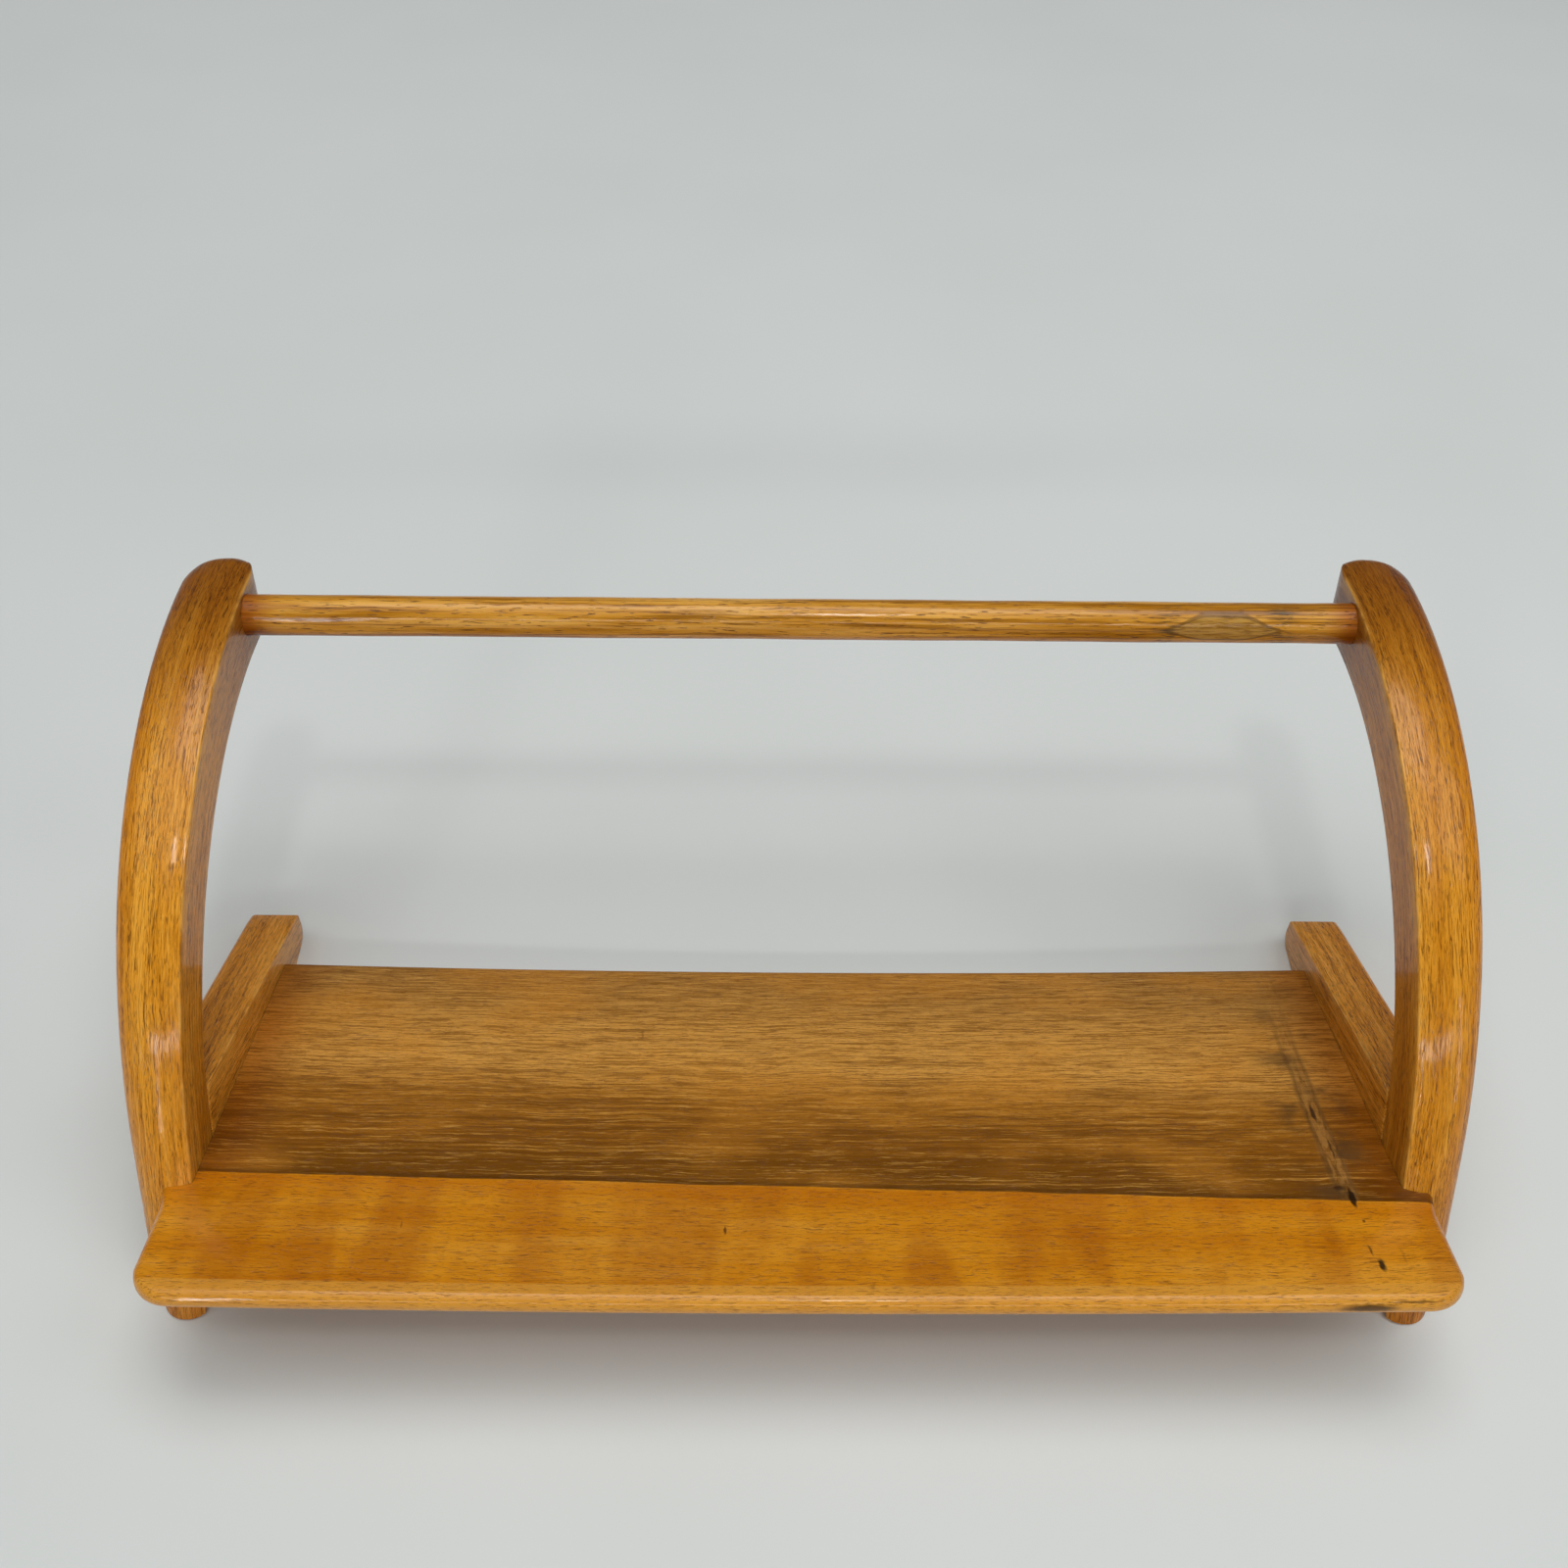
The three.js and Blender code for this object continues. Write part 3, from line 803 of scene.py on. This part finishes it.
def frame_wood(name, seed, tone, tip_end=None):
    """Ash in honey varnish: fine wavy growth lines, rows of open pores, inner ridges paler from
    wear and a painted highlight.

    A bow also gives the length where it ends, because it darkens towards its tip and its foot.
    """
    g = Graph(name)
    straight = g.grain()
    along, across, _ = g.split(straight)
    shift = (seed * 3.1, seed * 7.7, seed * 5.3)
    grain = wander(g, straight, 3.0 * MM, 45 * MM, shift)
    grain = wander(g, grain, 0.9 * MM, 9 * MM, shift)
    broad = g.noise(grain, (8, 90, 90), 3.0, 0.5, shift)
    lines = g.noise(grain, (12, 640, 640), 5.0, 0.68, shift)
    fibre = g.noise(grain, (110, 2300, 2300), 2.0, 0.6, shift)
    colour = g.ramp(broad, FRAME_RAMP)
    colour = g.mix(g.band(lines, 0.51, 0.66, 0.0, 0.58), colour, FRAME_LINE)
    colour = g.mix(g.band(lines, 0.47, 0.34, 0.0, 0.40), colour, FRAME_BETWEEN)
    colour = g.mix(g.band(fibre, 0.47, 0.68, 0.0, 0.55), colour, FRAME_DARK_FIBRE)
    colour = g.mix(g.band(fibre, 0.42, 0.28, 0.0, 0.40), colour, FRAME_LIGHT_FIBRE)
    long_pores = pores(g, grain, 8 * MM, 0.42 * MM, shift, 0.58, 0.65)
    short_pores = pores(g, grain, 3.4 * MM, 0.32 * MM, shift, 0.57, 0.64)
    in_rows = g.band(lines, 0.40, 0.54, 0.30, 1.0)
    dots = g.math("MAXIMUM", long_pores, g.times(short_pores, 0.85))
    dots = g.times(dots, in_rows)
    colour = g.mix(g.times(dots, 0.85), colour, FRAME_PORE)
    outside = g.band(across, 13 * MM, 25 * MM, 0.0, 0.45)
    colour = g.mix(outside, colour, OUTSIDE_TINT, "MULTIPLY")
    if tip_end:
        tip = g.band(along, tip_end - 115 * MM, tip_end - 12 * MM)
        colour = g.mix(tip, colour, TIP_TINT, "MULTIPLY")
        foot = g.band(along, 26 * MM, 6 * MM)
        colour = g.mix(foot, colour, FOOT_TINT, "MULTIPLY")
    # On the right bow this tone is painted shade, darkening the whole piece.
    colour = g.mix(1.0, colour, tone, "MULTIPLY")
    # The inner ridges are made paler: partly real wear, partly a painted highlight along the edge.
    ridge_line = g.node("ShaderNodeAttribute", attribute_name="ridge").outputs["Fac"]
    wear_and_sheen = g.band(g.noise(straight, (60, 90, 90), 3.0), 0.42, 0.60, 0.10, 0.60)
    colour = g.mix(g.times(ridge_line, wear_and_sheen), colour, FRAME_WEAR_AND_SHEEN)
    roughness = g.band(fibre, 0.3, 0.7, 0.34, 0.50)
    height = g.math("MULTIPLY_ADD", dots, -0.9, g.times(lines, 0.5))
    height = g.math("MULTIPLY_ADD", g.noise(straight, (25, 70, 70), 2.0, 0.5), 0.8, height)
    return g.finish(colour, roughness, height, WOOD_BUMP, **VARNISH)


ROD_RAMP = (
    (0.32, (0.440, 0.170, 0.0060)),
    (0.50, (0.630, 0.275, 0.0260)),
    (0.68, (0.820, 0.420, 0.0800)),
)
ROD_LINE = (0.230, 0.080, 0.0030)
ROD_BETWEEN = (0.850, 0.480, 0.1000)
ROD_PORE = (0.090, 0.028, 0.0040)
ROD_END_TINT = (0.60, 0.38, 0.25)
# Painted shade: how much darker the rod's underside is made.
ROD_UNDERSIDE_SHADE = (0.72, 0.60, 0.45)

# The leaf-shaped knot on the front of the rod, and the two eyes in it as (place, reach).
LEAF_MIDDLE = 163 * MM
LEAF_ABOVE = 2.4 * MM
LEAF_HALF_LENGTH = 27 * MM
LEAF_HALF_WIDTH = 4.6 * MM
LEAF_PALE = (0.480, 0.270, 0.0600)
LEAF_DARK = (0.200, 0.095, 0.0150)
LEAF_RIM = (0.090, 0.040, 0.0100)
LEAF_EYES = ((141 * MM, 7 * MM), (186 * MM, 9 * MM))
LEAF_EYE_STAIN = (0.060, 0.040, 0.0200)


def rod_wood():
    """A turned rod of the same wood, with a long leaf-shaped knot near its right end."""
    g = Graph("rod_varnish")
    straight = g.grain()
    along, to_back, above = g.split(straight)
    grain = wander(g, straight, 2.0 * MM, 30 * MM, (3, 3, 3))
    broad = g.noise(grain, (12, 190, 190), 3.0, 0.55, (4, 1, 2))
    lines = g.noise(grain, (13, 760, 760), 4.0, 0.62, (1, 5, 9))
    colour = g.ramp(broad, ROD_RAMP)
    colour = g.mix(g.band(lines, 0.50, 0.62, 0.0, 0.75), colour, ROD_LINE)
    colour = g.mix(g.band(lines, 0.46, 0.36, 0.0, 0.35), colour, ROD_BETWEEN)
    flecks = pores(g, grain, 6 * MM, 0.5 * MM, (2, 3, 4), 0.60, 0.68)
    colour = g.mix(g.times(flecks, 0.85), colour, ROD_PORE)

    off_middle = g.distance(along, LEAF_MIDDLE)
    leaf_width = g.band(off_middle, LEAF_HALF_LENGTH, 6 * MM, -0.5 * MM, LEAF_HALF_WIDTH)
    inside = g.minus(leaf_width, g.distance(above, LEAF_ABOVE))
    front = g.band(to_back, 1 * MM, -2 * MM)
    leaf = g.times(g.band(inside, -0.2 * MM, 0.4 * MM), front)
    crinkle = g.noise(grain, (90, 900, 900), 4.0, 0.65, (7, 7, 7), 1.0)
    knot = g.mix(g.band(crinkle, 0.42, 0.60), LEAF_PALE, LEAF_DARK)
    colour = g.mix(g.times(leaf, 0.72), colour, knot)
    rim = g.band(g.math("ABSOLUTE", inside), 0.75 * MM, 0.25 * MM)
    rim = g.times(g.times(rim, front), g.band(off_middle, 30 * MM, LEAF_HALF_LENGTH))
    colour = g.mix(g.times(rim, 0.6), colour, LEAF_RIM)
    stain = 0.0
    for place, reach in LEAF_EYES:
        spot = g.band(g.distance(along, place), reach, 1 * MM)
        stain = g.math("MAXIMUM", g.times(spot, front), stain)
    stain = g.times(stain, g.band(crinkle, 0.46, 0.60, 0.0, 0.8))
    colour = g.mix(stain, colour, LEAF_EYE_STAIN)

    ends = g.band(g.math("ABSOLUTE", along), 200 * MM, 214 * MM)
    colour = g.mix(ends, colour, ROD_END_TINT, "MULTIPLY")
    # Painted shade: the rod's lower side is darkened.
    under = g.band(above, -1 * MM, -6.5 * MM)
    colour = g.mix(under, colour, ROD_UNDERSIDE_SHADE, "MULTIPLY")
    roughness = g.band(lines, 0.3, 0.7, 0.36, 0.5)
    height = g.math("MULTIPLY_ADD", flecks, -0.8, g.times(lines, 0.7))
    height = g.math("MULTIPLY_ADD", g.times(leaf, crinkle), 0.8, height)
    return g.finish(colour, roughness, height, WOOD_BUMP, **VARNISH)


# The line where light wood meets dark wood: its run at the middle, its slant and its bend.
BOUNDARY_RUN = 47.4 * MM
BOUNDARY_SLANT = -0.0274
BOUNDARY_BEND = -0.054

REAR_RAMP = (
    (0.00, (0.160, 0.056, 0.0020)),
    (0.08, (0.270, 0.095, 0.0050)),
    (0.30, (0.430, 0.170, 0.0160)),
    (0.52, (0.700, 0.335, 0.0620)),
    (0.80, (0.630, 0.300, 0.0560)),
    (1.00, (0.440, 0.205, 0.0400)),
)
REAR_RAMP_LENGTH = 120 * MM
REAR_DARK_STREAK = (0.125, 0.040, 0.0018)
REAR_LIGHT_STREAK = (0.600, 0.275, 0.0420)
REAR_DARK_THREAD = (0.185, 0.064, 0.0040)
REAR_LIGHT_THREAD = (0.800, 0.420, 0.0900)
REAR_BLOTCH = (0.660, 0.260, 0.0250)
# Darker, redder rear beside the bows: partly the wood's own colour, partly painted shade and
# painted reflection.
REAR_SIDE_SHADE_AND_TONE = (0.70, 0.50, 0.25)
REAR_END_TINT = (0.50, 0.42, 0.30)
SEAM = (0.070, 0.022, 0.0010)
GLOW = (0.520, 0.140, 0.0005)

FRONT_RAMP = (
    (0.32, (0.600, 0.195, 0.0020)),
    (0.50, (0.690, 0.258, 0.0070)),
    (0.68, (0.760, 0.330, 0.0280)),
)
FRONT_CURL_TINT = (0.76, 0.66, 0.60)
FRONT_DARK_FIBRE = (0.330, 0.095, 0.0010)
FRONT_LIGHT_FIBRE = (0.880, 0.400, 0.0300)
# Paler nose: partly the rounded edge's own colour, partly a painted highlight.
PALE_NOSE_AND_SHEEN = (0.740, 0.345, 0.0480)
TICK = (0.150, 0.045, 0.0010)
SPECK = (0.170, 0.050, 0.0015)

KNOT_ACROSS = 194.5 * MM
KNOT_PALE = (0.420, 0.205, 0.0500)
KNOT_DARK = (0.190, 0.080, 0.0150)
KNOT_RIM = (0.100, 0.045, 0.0120)
KNOT_STAIN = (0.090, 0.042, 0.0120)
KNOT_CRACK = (0.045, 0.020, 0.0060)

# The split at the right of the nose and the fine crack beside it: (across, above) and radii in
# mm, how far out it is full, and strength.
NOSE_SCARS = (
    ((188, 0.3), (13, 2.3), 0.35, 0.9),
    ((203, 2.4), (13, 0.5), 0.3, 0.7),
)
NOSE_SCAR = (0.060, 0.024, 0.0040)

# Each mark: its middle (across, run) and radii in mm, how far out it is full, strength, colour.
SHELF_MARKS = (
    ((195.6, 41), (1.5, 5.5), 0.5, 0.95, (0.012, 0.006, 0.003)),
    ((192.4, 46), (2.8, 1.6), 0.3, 0.80, (0.035, 0.012, 0.004)),
    ((194.0, 84), (0.9, 7.5), 0.3, 0.85, (0.035, 0.016, 0.007)),
    ((195.4, 65), (0.7, 7.0), 0.3, 0.80, (0.050, 0.022, 0.008)),
    ((190.0, 140), (6.0, 9.0), 0.1, 0.40, (0.100, 0.052, 0.020)),
    ((196.4, 11), (1.5, 3.6), 0.4, 0.95, (0.014, 0.007, 0.003)),
    ((194.6, 17.5), (0.6, 3.4), 0.3, 0.70, (0.060, 0.020, 0.004)),
    ((196.3, 30.5), (0.8, 1.0), 0.3, 0.80, (0.080, 0.022, 0.004)),
    ((205.0, 15), (0.8, 5.5), 0.2, 0.35, (0.200, 0.070, 0.010)),
    ((-138, 28), (0.6, 2.4), 0.2, 0.55, (0.160, 0.045, 0.004)),
    ((-26.0, 27), (0.7, 2.6), 0.3, 0.85, (0.070, 0.022, 0.004)),
    ((24, 3), (1.4, 2.2), 0.2, 0.45, (0.220, 0.080, 0.010)),
    ((-62, 128), (0.5, 3.0), 0.2, 0.60, (0.240, 0.080, 0.012)),
    ((213, 42), (5.0, 2.2), 0.3, 0.55, (0.090, 0.026, 0.004)),
)


def shelf_mark(g, across, run, centre, radii, full):
    """An oval mark on the board, 1 at its middle and 0 outside."""
    x = g.math("DIVIDE", g.minus(across, centre[0] * MM), radii[0] * MM)
    y = g.math("DIVIDE", g.minus(run, centre[1] * MM), radii[1] * MM)
    reach = g.math("SQRT", g.math("MULTIPLY_ADD", x, x, g.times(y, y)))
    return g.band(reach, 1.0, full, 0.0, 1.0)


def shelf_rear_colour(g, grain, across, past):
    """Brown heartwood: dark streaks close to the boundary, lighter towards the rear edge."""
    streak = g.noise(grain, (6, 640, 300), 6.0, 0.72, (3, 1, 0))
    thread = g.noise(grain, (60, 1350, 600), 4.0, 0.72, (8, 2, 0))
    base = g.ramp(g.band(past, 0, REAR_RAMP_LENGTH), REAR_RAMP)
    near = g.band(past, 80 * MM, 18 * MM, 0.25, 1.0)
    dark = g.times(g.band(streak, 0.50, 0.57, 0.0, 0.66), near)
    colour = g.mix(dark, base, REAR_DARK_STREAK)
    light = g.times(g.band(streak, 0.45, 0.38, 0.0, 0.50), near)
    colour = g.mix(light, colour, REAR_LIGHT_STREAK)
    colour = g.mix(g.band(thread, 0.50, 0.57, 0.0, 0.66), colour, REAR_DARK_THREAD)
    colour = g.mix(g.band(thread, 0.44, 0.36, 0.0, 0.45), colour, REAR_LIGHT_THREAD)
    blotch = g.noise(grain, (15, 26, 10), 3.0, 0.5, (5, 9, 1))
    colour = g.mix(g.band(blotch, 0.47, 0.66, 0.0, 0.35), colour, REAR_BLOTCH)
    # Darker and redder beside the bows and legs: partly the wood's own colour, partly painted
    # shade and painted reflection of the bows and legs.
    side = g.band(g.math("ABSOLUTE", across), 190 * MM, 212 * MM, 0.0, 0.75)
    return g.mix(side, colour, REAR_SIDE_SHADE_AND_TONE, "MULTIPLY")


def shelf_front_colour(g, grain, run):
    """Orange sapwood with soft curl bands across the grain, dense short flecks, pale nose, partly
    its own colour and partly a painted highlight.
    """
    broad = g.noise(grain, (7, 60, 20), 4.0, 0.6, (2, 6, 3))
    colour = g.ramp(broad, FRONT_RAMP)
    curl = g.noise(grain, (38, 7, 5), 2.0, 0.5, (1, 4, 4), 0.5)
    colour = g.mix(g.band(curl, 0.42, 0.60, 0.0, 0.85), colour, FRONT_CURL_TINT, "MULTIPLY")
    fine = g.noise(grain, (75, 1350, 500), 3.0, 0.62, (4, 1, 7))
    colour = g.mix(g.band(fine, 0.52, 0.66, 0.0, 0.45), colour, FRONT_DARK_FIBRE)
    colour = g.mix(g.band(fine, 0.42, 0.32, 0.0, 0.28), colour, FRONT_LIGHT_FIBRE)
    # The nose is made paler: partly the rounded edge's own colour, partly a painted highlight.
    return g.mix(g.band(run, 3.6 * MM, 2.6 * MM, 0.0, 0.65), colour, PALE_NOSE_AND_SHEEN)


def past_boundary(g, straight, across, run):
    """How far behind the line between light and dark wood a place lies."""
    wobble = g.noise(straight, (30, 30, 30), 2.0)
    bend = g.math("MULTIPLY_ADD", g.times(across, across), BOUNDARY_BEND, BOUNDARY_RUN)
    slanted = g.math("MULTIPLY_ADD", across, BOUNDARY_SLANT, bend)
    edge = g.math("ADD", slanted, g.math("MULTIPLY_ADD", wobble, 1.6 * MM, -0.8 * MM))
    return g.minus(run, edge)


def shelf_knot(g, grain, across, run, past, colour):
    """The spike knot: a pale, crinkled line straight across the grain, grey stain beside it."""
    sway_noise = g.noise(grain, (22, 22, 22), 2.0, 0.5, (9, 9, 9))
    sway = g.math("MULTIPLY_ADD", sway_noise, 5 * MM, -2.5 * MM)
    lean = g.times(g.minus(run, 45 * MM), 0.01)
    middle = g.math("ADD", g.math("ADD", sway, lean), KNOT_ACROSS)
    reach = g.distance(across, middle)
    rear = g.band(past, -1 * MM, 3 * MM)
    fade = g.band(run, 150 * MM, 95 * MM, 0.2, 1.0)
    core = g.times(g.times(g.band(reach, 5.0 * MM, 1.5 * MM), rear), fade)
    crinkle = g.noise(grain, (560, 130, 300), 4.0, 0.65, (2, 8, 2), 0.8)
    pale = g.mix(g.band(crinkle, 0.40, 0.60), KNOT_PALE, KNOT_DARK)
    colour = g.mix(g.times(core, 0.6), colour, pale)
    rim = g.times(g.band(reach, 1.6 * MM, 2.6 * MM), g.band(reach, 4.4 * MM, 3.0 * MM))
    rim = g.times(g.times(rim, rear), fade)
    colour = g.mix(g.times(rim, 0.45), colour, KNOT_RIM)
    stain_noise = g.noise(grain, (42, 60, 30), 3.0, 0.6, (6, 2, 5))
    stain = g.times(g.band(reach, 20 * MM, 4 * MM), g.band(stain_noise, 0.47, 0.62))
    stain = g.times(g.times(stain, rear), fade)
    colour = g.mix(g.times(stain, 0.8), colour, KNOT_STAIN)
    cracks = g.times(core, g.band(crinkle, 0.60, 0.68))
    return g.mix(g.times(cracks, 0.6), colour, KNOT_CRACK), cracks


def shelf_wood():
    """The board: light front and dark rear, the spike knot, small marks, the split nose."""
    g = Graph("shelf_varnish")
    straight = g.grain()
    across, run, above = g.split(straight)
    grain = wander(g, straight, 3.0 * MM, 40 * MM, (5, 5, 5))
    grain = wander(g, grain, 1.0 * MM, 7 * MM, (5, 5, 5))
    past = past_boundary(g, straight, across, run)
    front = shelf_front_colour(g, grain, run)
    rear = shelf_rear_colour(g, grain, across, past)
    colour = g.mix(g.band(past, -0.25 * MM, 0.35 * MM), front, rear)
    seam = g.times(g.band(past, -0.3 * MM, 0.4 * MM), g.band(past, 3 * MM, 0.6 * MM))
    colour = g.mix(g.times(seam, 0.6), colour, SEAM)
    glow = g.times(g.band(past, -0.2 * MM, -1.0 * MM), g.band(past, -12 * MM, -1 * MM))
    colour = g.mix(g.times(glow, 0.45), colour, GLOW)
    ticks = pores(g, grain, 6.0 * MM, 0.40 * MM, (1, 1, 1), 0.60, 0.65)
    specks = pores(g, grain, 3.0 * MM, 0.32 * MM, (5, 2, 8), 0.60, 0.65)
    colour = g.mix(g.times(ticks, 0.60), colour, TICK)
    colour = g.mix(g.times(specks, 0.45), colour, SPECK)
    colour, cracks = shelf_knot(g, straight, across, run, past, colour)
    dents = g.math("MULTIPLY_ADD", ticks, -0.6, g.times(cracks, -0.9))

    # The marks have ragged outlines, because their place is shaken by a fine noise.
    shaken = g.noise(straight, (420, 420, 420), 2.0)
    ragged = g.minus(g.math("MULTIPLY_ADD", shaken, 1.6 * MM, across), 0.8 * MM)
    for centre, radii, full, strength, dark in SHELF_MARKS:
        mark = g.times(shelf_mark(g, ragged, run, centre, radii, full), strength)
        colour = g.mix(mark, colour, dark)
        dents = g.math("MULTIPLY_ADD", mark, -1.2, dents)
    lift = g.math("MULTIPLY_ADD", g.minus(ragged, across), 0.7, above)
    scar = 0.0
    for centre, radii, full, strength in NOSE_SCARS:
        mark = g.times(shelf_mark(g, across, lift, centre, radii, full), strength)
        scar = g.math("MAXIMUM", mark, scar)
    scar = g.times(scar, g.band(run, 5 * MM, 3 * MM))
    colour = g.mix(scar, colour, NOSE_SCAR)
    dents = g.math("MULTIPLY_ADD", scar, -0.8, dents)

    rear_end = g.band(run, 166 * MM, 169.5 * MM, 0.0, 0.35)
    colour = g.mix(rear_end, colour, REAR_END_TINT, "MULTIPLY")
    roughness = g.band(g.noise(straight, (50, 220, 90), 3.0), 0.3, 0.7, 0.34, 0.5)
    height = g.math("MULTIPLY_ADD", g.noise(straight, (12, 30, 10), 2.0, 0.5), 1.2, dents)
    height = g.math("MULTIPLY_ADD", g.noise(grain, (25, 700, 300), 2.0), 0.5, height)
    return g.finish(colour, roughness, height, WOOD_BUMP, **VARNISH)


DOWEL_RAMP = ((0.3, (0.52, 0.33, 0.16)), (0.7, (0.70, 0.49, 0.27)))


def bare_wood(name):
    """Unfinished beech of the hidden dowels."""
    g = Graph(name)
    place = g.node("ShaderNodeTexCoord").outputs["Object"]
    lines = g.noise(place, (60, 900, 900), 3.0)
    colour = g.ramp(lines, DOWEL_RAMP)
    return g.finish(colour, g.band(lines, 0.3, 0.7, 0.55, 0.75), lines)


# ---------------------------------------------------------------------------------------------
# Pieces on the frame
# ---------------------------------------------------------------------------------------------

def place_piece(piece, node, material):
    piece.data.materials.clear()
    piece.data.materials.append(material)
    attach(piece, "root")
    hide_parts(node)


for number, (side, sign, extra) in enumerate(SIDES):
    tip_end = BOW_LENGTH + extra
    bow_material = frame_wood(f"{side}_bow_varnish", 1 + number, BOW_TONES_AND_SHADE[side], tip_end)
    leg_material = frame_wood(f"{side}_leg_varnish", 4 + number, LEG_TONE)
    place_piece(make_bow(side, sign, extra), f"{side}_bow", bow_material)
    place_piece(make_leg(side, sign), f"{side}_rear_leg", leg_material)

place_piece(make_shelf(), "shelf_board", shelf_wood())
place_piece(make_rod(), "back_rod", rod_wood())

dowel_material = bare_wood("dowel_beech")
for node_name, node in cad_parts.items():
    if "dowel" in node_name:
        node.data.materials.clear()
        node.data.materials.append(dowel_material)

# ---------------------------------------------------------------------------------------------
# Studio: floor, light and camera
# ---------------------------------------------------------------------------------------------

FLOOR_HALF_SIZE = 3.0
FLOOR_RAMP = ((0.3, (0.700, 0.725, 0.700)), (0.7, (0.735, 0.755, 0.735)))
FLOOR_ROUGHNESS = 0.85
FLOOR_BUMP = 0.1
FLOOR_BUMP_DISTANCE = 0.1 * MM

# The room's light at the sides and overhead, and how high, from 0 to 1, it starts to rise.
ROOM_LOW, ROOM_HIGH = 0.07, 1.72
ROOM_RISE_FROM = 0.8
ROOM_COLOUR = (0.95, 0.98, 1.0, 1.0)

# Each light: name, azimuth, elevation, distance in metres, (width, height) in degrees, radiance.
LIGHT_TARGET = (0, 0.05, 0.08)
LIGHTS = (
    ("ceiling", 165, 78, 3.0, (40, 24), 2.7),
    ("lamp", 8, 70, 3.0, (4, 6), 30),
    ("window", 3, 27, 3.0, (60, 4), 7),
    ("right_side", 80, 50, 1.6, (22, 22), 1.7),
    ("left_side", -80, 50, 2.4, (22, 22), 0.7),
    ("low_left", -20, 16, 3.0, (2, 22), 20),
    ("low_right", 46, 16, 3.0, (2, 22), 12),
)

CAMERA_PLACE = (-11.85 * MM, FRONT_FOOT_Y - 244.8 * MM, 552.7 * MM)
CAMERA_PITCH = math.radians(47.3)
CAMERA_TURN = math.radians(-0.79)
CAMERA_ROLL = math.radians(0.99)
CAMERA_LENS = 36.045
CAMERA_SENSOR = 36


def make_floor():
    """A plain pale sheet of paper, level with the feet."""
    g = Graph("paper_floor")
    place = g.node("ShaderNodeTexCoord").outputs["Object"]
    tone = g.noise(place, (3, 3, 3), 3.0)
    fibre = g.noise(place, (260, 260, 260), 3.0)
    colour = g.ramp(tone, FLOOR_RAMP)
    material = g.finish(colour, FLOOR_ROUGHNESS, fibre, FLOOR_BUMP, FLOOR_BUMP_DISTANCE)
    reach = FLOOR_HALF_SIZE
    corners = [(-reach, -reach, 0), (reach, -reach, 0), (reach, reach, 0), (-reach, reach, 0)]
    floor = mesh_object("floor", corners, [(0, 1, 2, 3)])
    floor.data.materials.append(material)


def soft_light(name, azimuth, elevation, distance, spread, radiance):
    """A flat soft light that faces the rack. Azimuth 0 is in front of it and 90 on its right."""
    light = bpy.data.lights.new(name, "AREA")
    light.shape = "RECTANGLE"
    width, height = (2 * distance * math.tan(math.radians(angle / 2)) for angle in spread)
    light.size = width
    light.size_y = height
    light.energy = radiance * math.pi * width * height
    turn = math.radians(azimuth)
    rise = math.radians(elevation)
    level = math.cos(rise)
    heading = Vector((math.sin(turn) * level, -math.cos(turn) * level, math.sin(rise)))
    lamp = bpy.data.objects.new(name, light)
    lamp.location = Vector(LIGHT_TARGET) + heading * distance
    lamp.rotation_euler = heading.to_track_quat("Z", "Y").to_euler()
    bpy.context.scene.collection.objects.link(lamp)


def make_world():
    """A pale room that is brightest overhead."""
    world = bpy.data.worlds.new("studio")
    world.use_nodes = True
    tree = world.node_tree
    place = tree.nodes.new("ShaderNodeTexCoord")
    parts = tree.nodes.new("ShaderNodeSeparateXYZ")
    tree.links.new(place.outputs["Generated"], parts.inputs[0])
    ramp = tree.nodes.new("ShaderNodeMapRange")
    ramp.interpolation_type = "SMOOTHSTEP"
    ramp.inputs["From Min"].default_value = ROOM_RISE_FROM
    ramp.inputs["From Max"].default_value = 1.0
    ramp.inputs["To Min"].default_value = ROOM_LOW
    ramp.inputs["To Max"].default_value = ROOM_HIGH
    tree.links.new(parts.outputs["Z"], ramp.inputs["Value"])
    back = tree.nodes["Background"]
    back.inputs["Color"].default_value = ROOM_COLOUR
    tree.links.new(ramp.outputs[0], back.inputs["Strength"])
    bpy.context.scene.world = world


def make_camera():
    data = bpy.data.cameras.new("camera")
    data.sensor_width = CAMERA_SENSOR
    data.lens = CAMERA_LENS
    camera = bpy.data.objects.new("camera", data)
    level = Matrix.Rotation(math.pi / 2 - CAMERA_PITCH, 4, "X")
    turned = Matrix.Rotation(CAMERA_TURN, 4, "Z") @ level @ Matrix.Rotation(CAMERA_ROLL, 4, "Z")
    camera.matrix_world = Matrix.Translation(CAMERA_PLACE) @ turned
    bpy.context.scene.collection.objects.link(camera)
    bpy.context.scene.camera = camera


make_floor()
make_world()
for settings in LIGHTS:
    soft_light(*settings)
make_camera()
bpy.context.scene.view_settings.view_transform = "Standard"
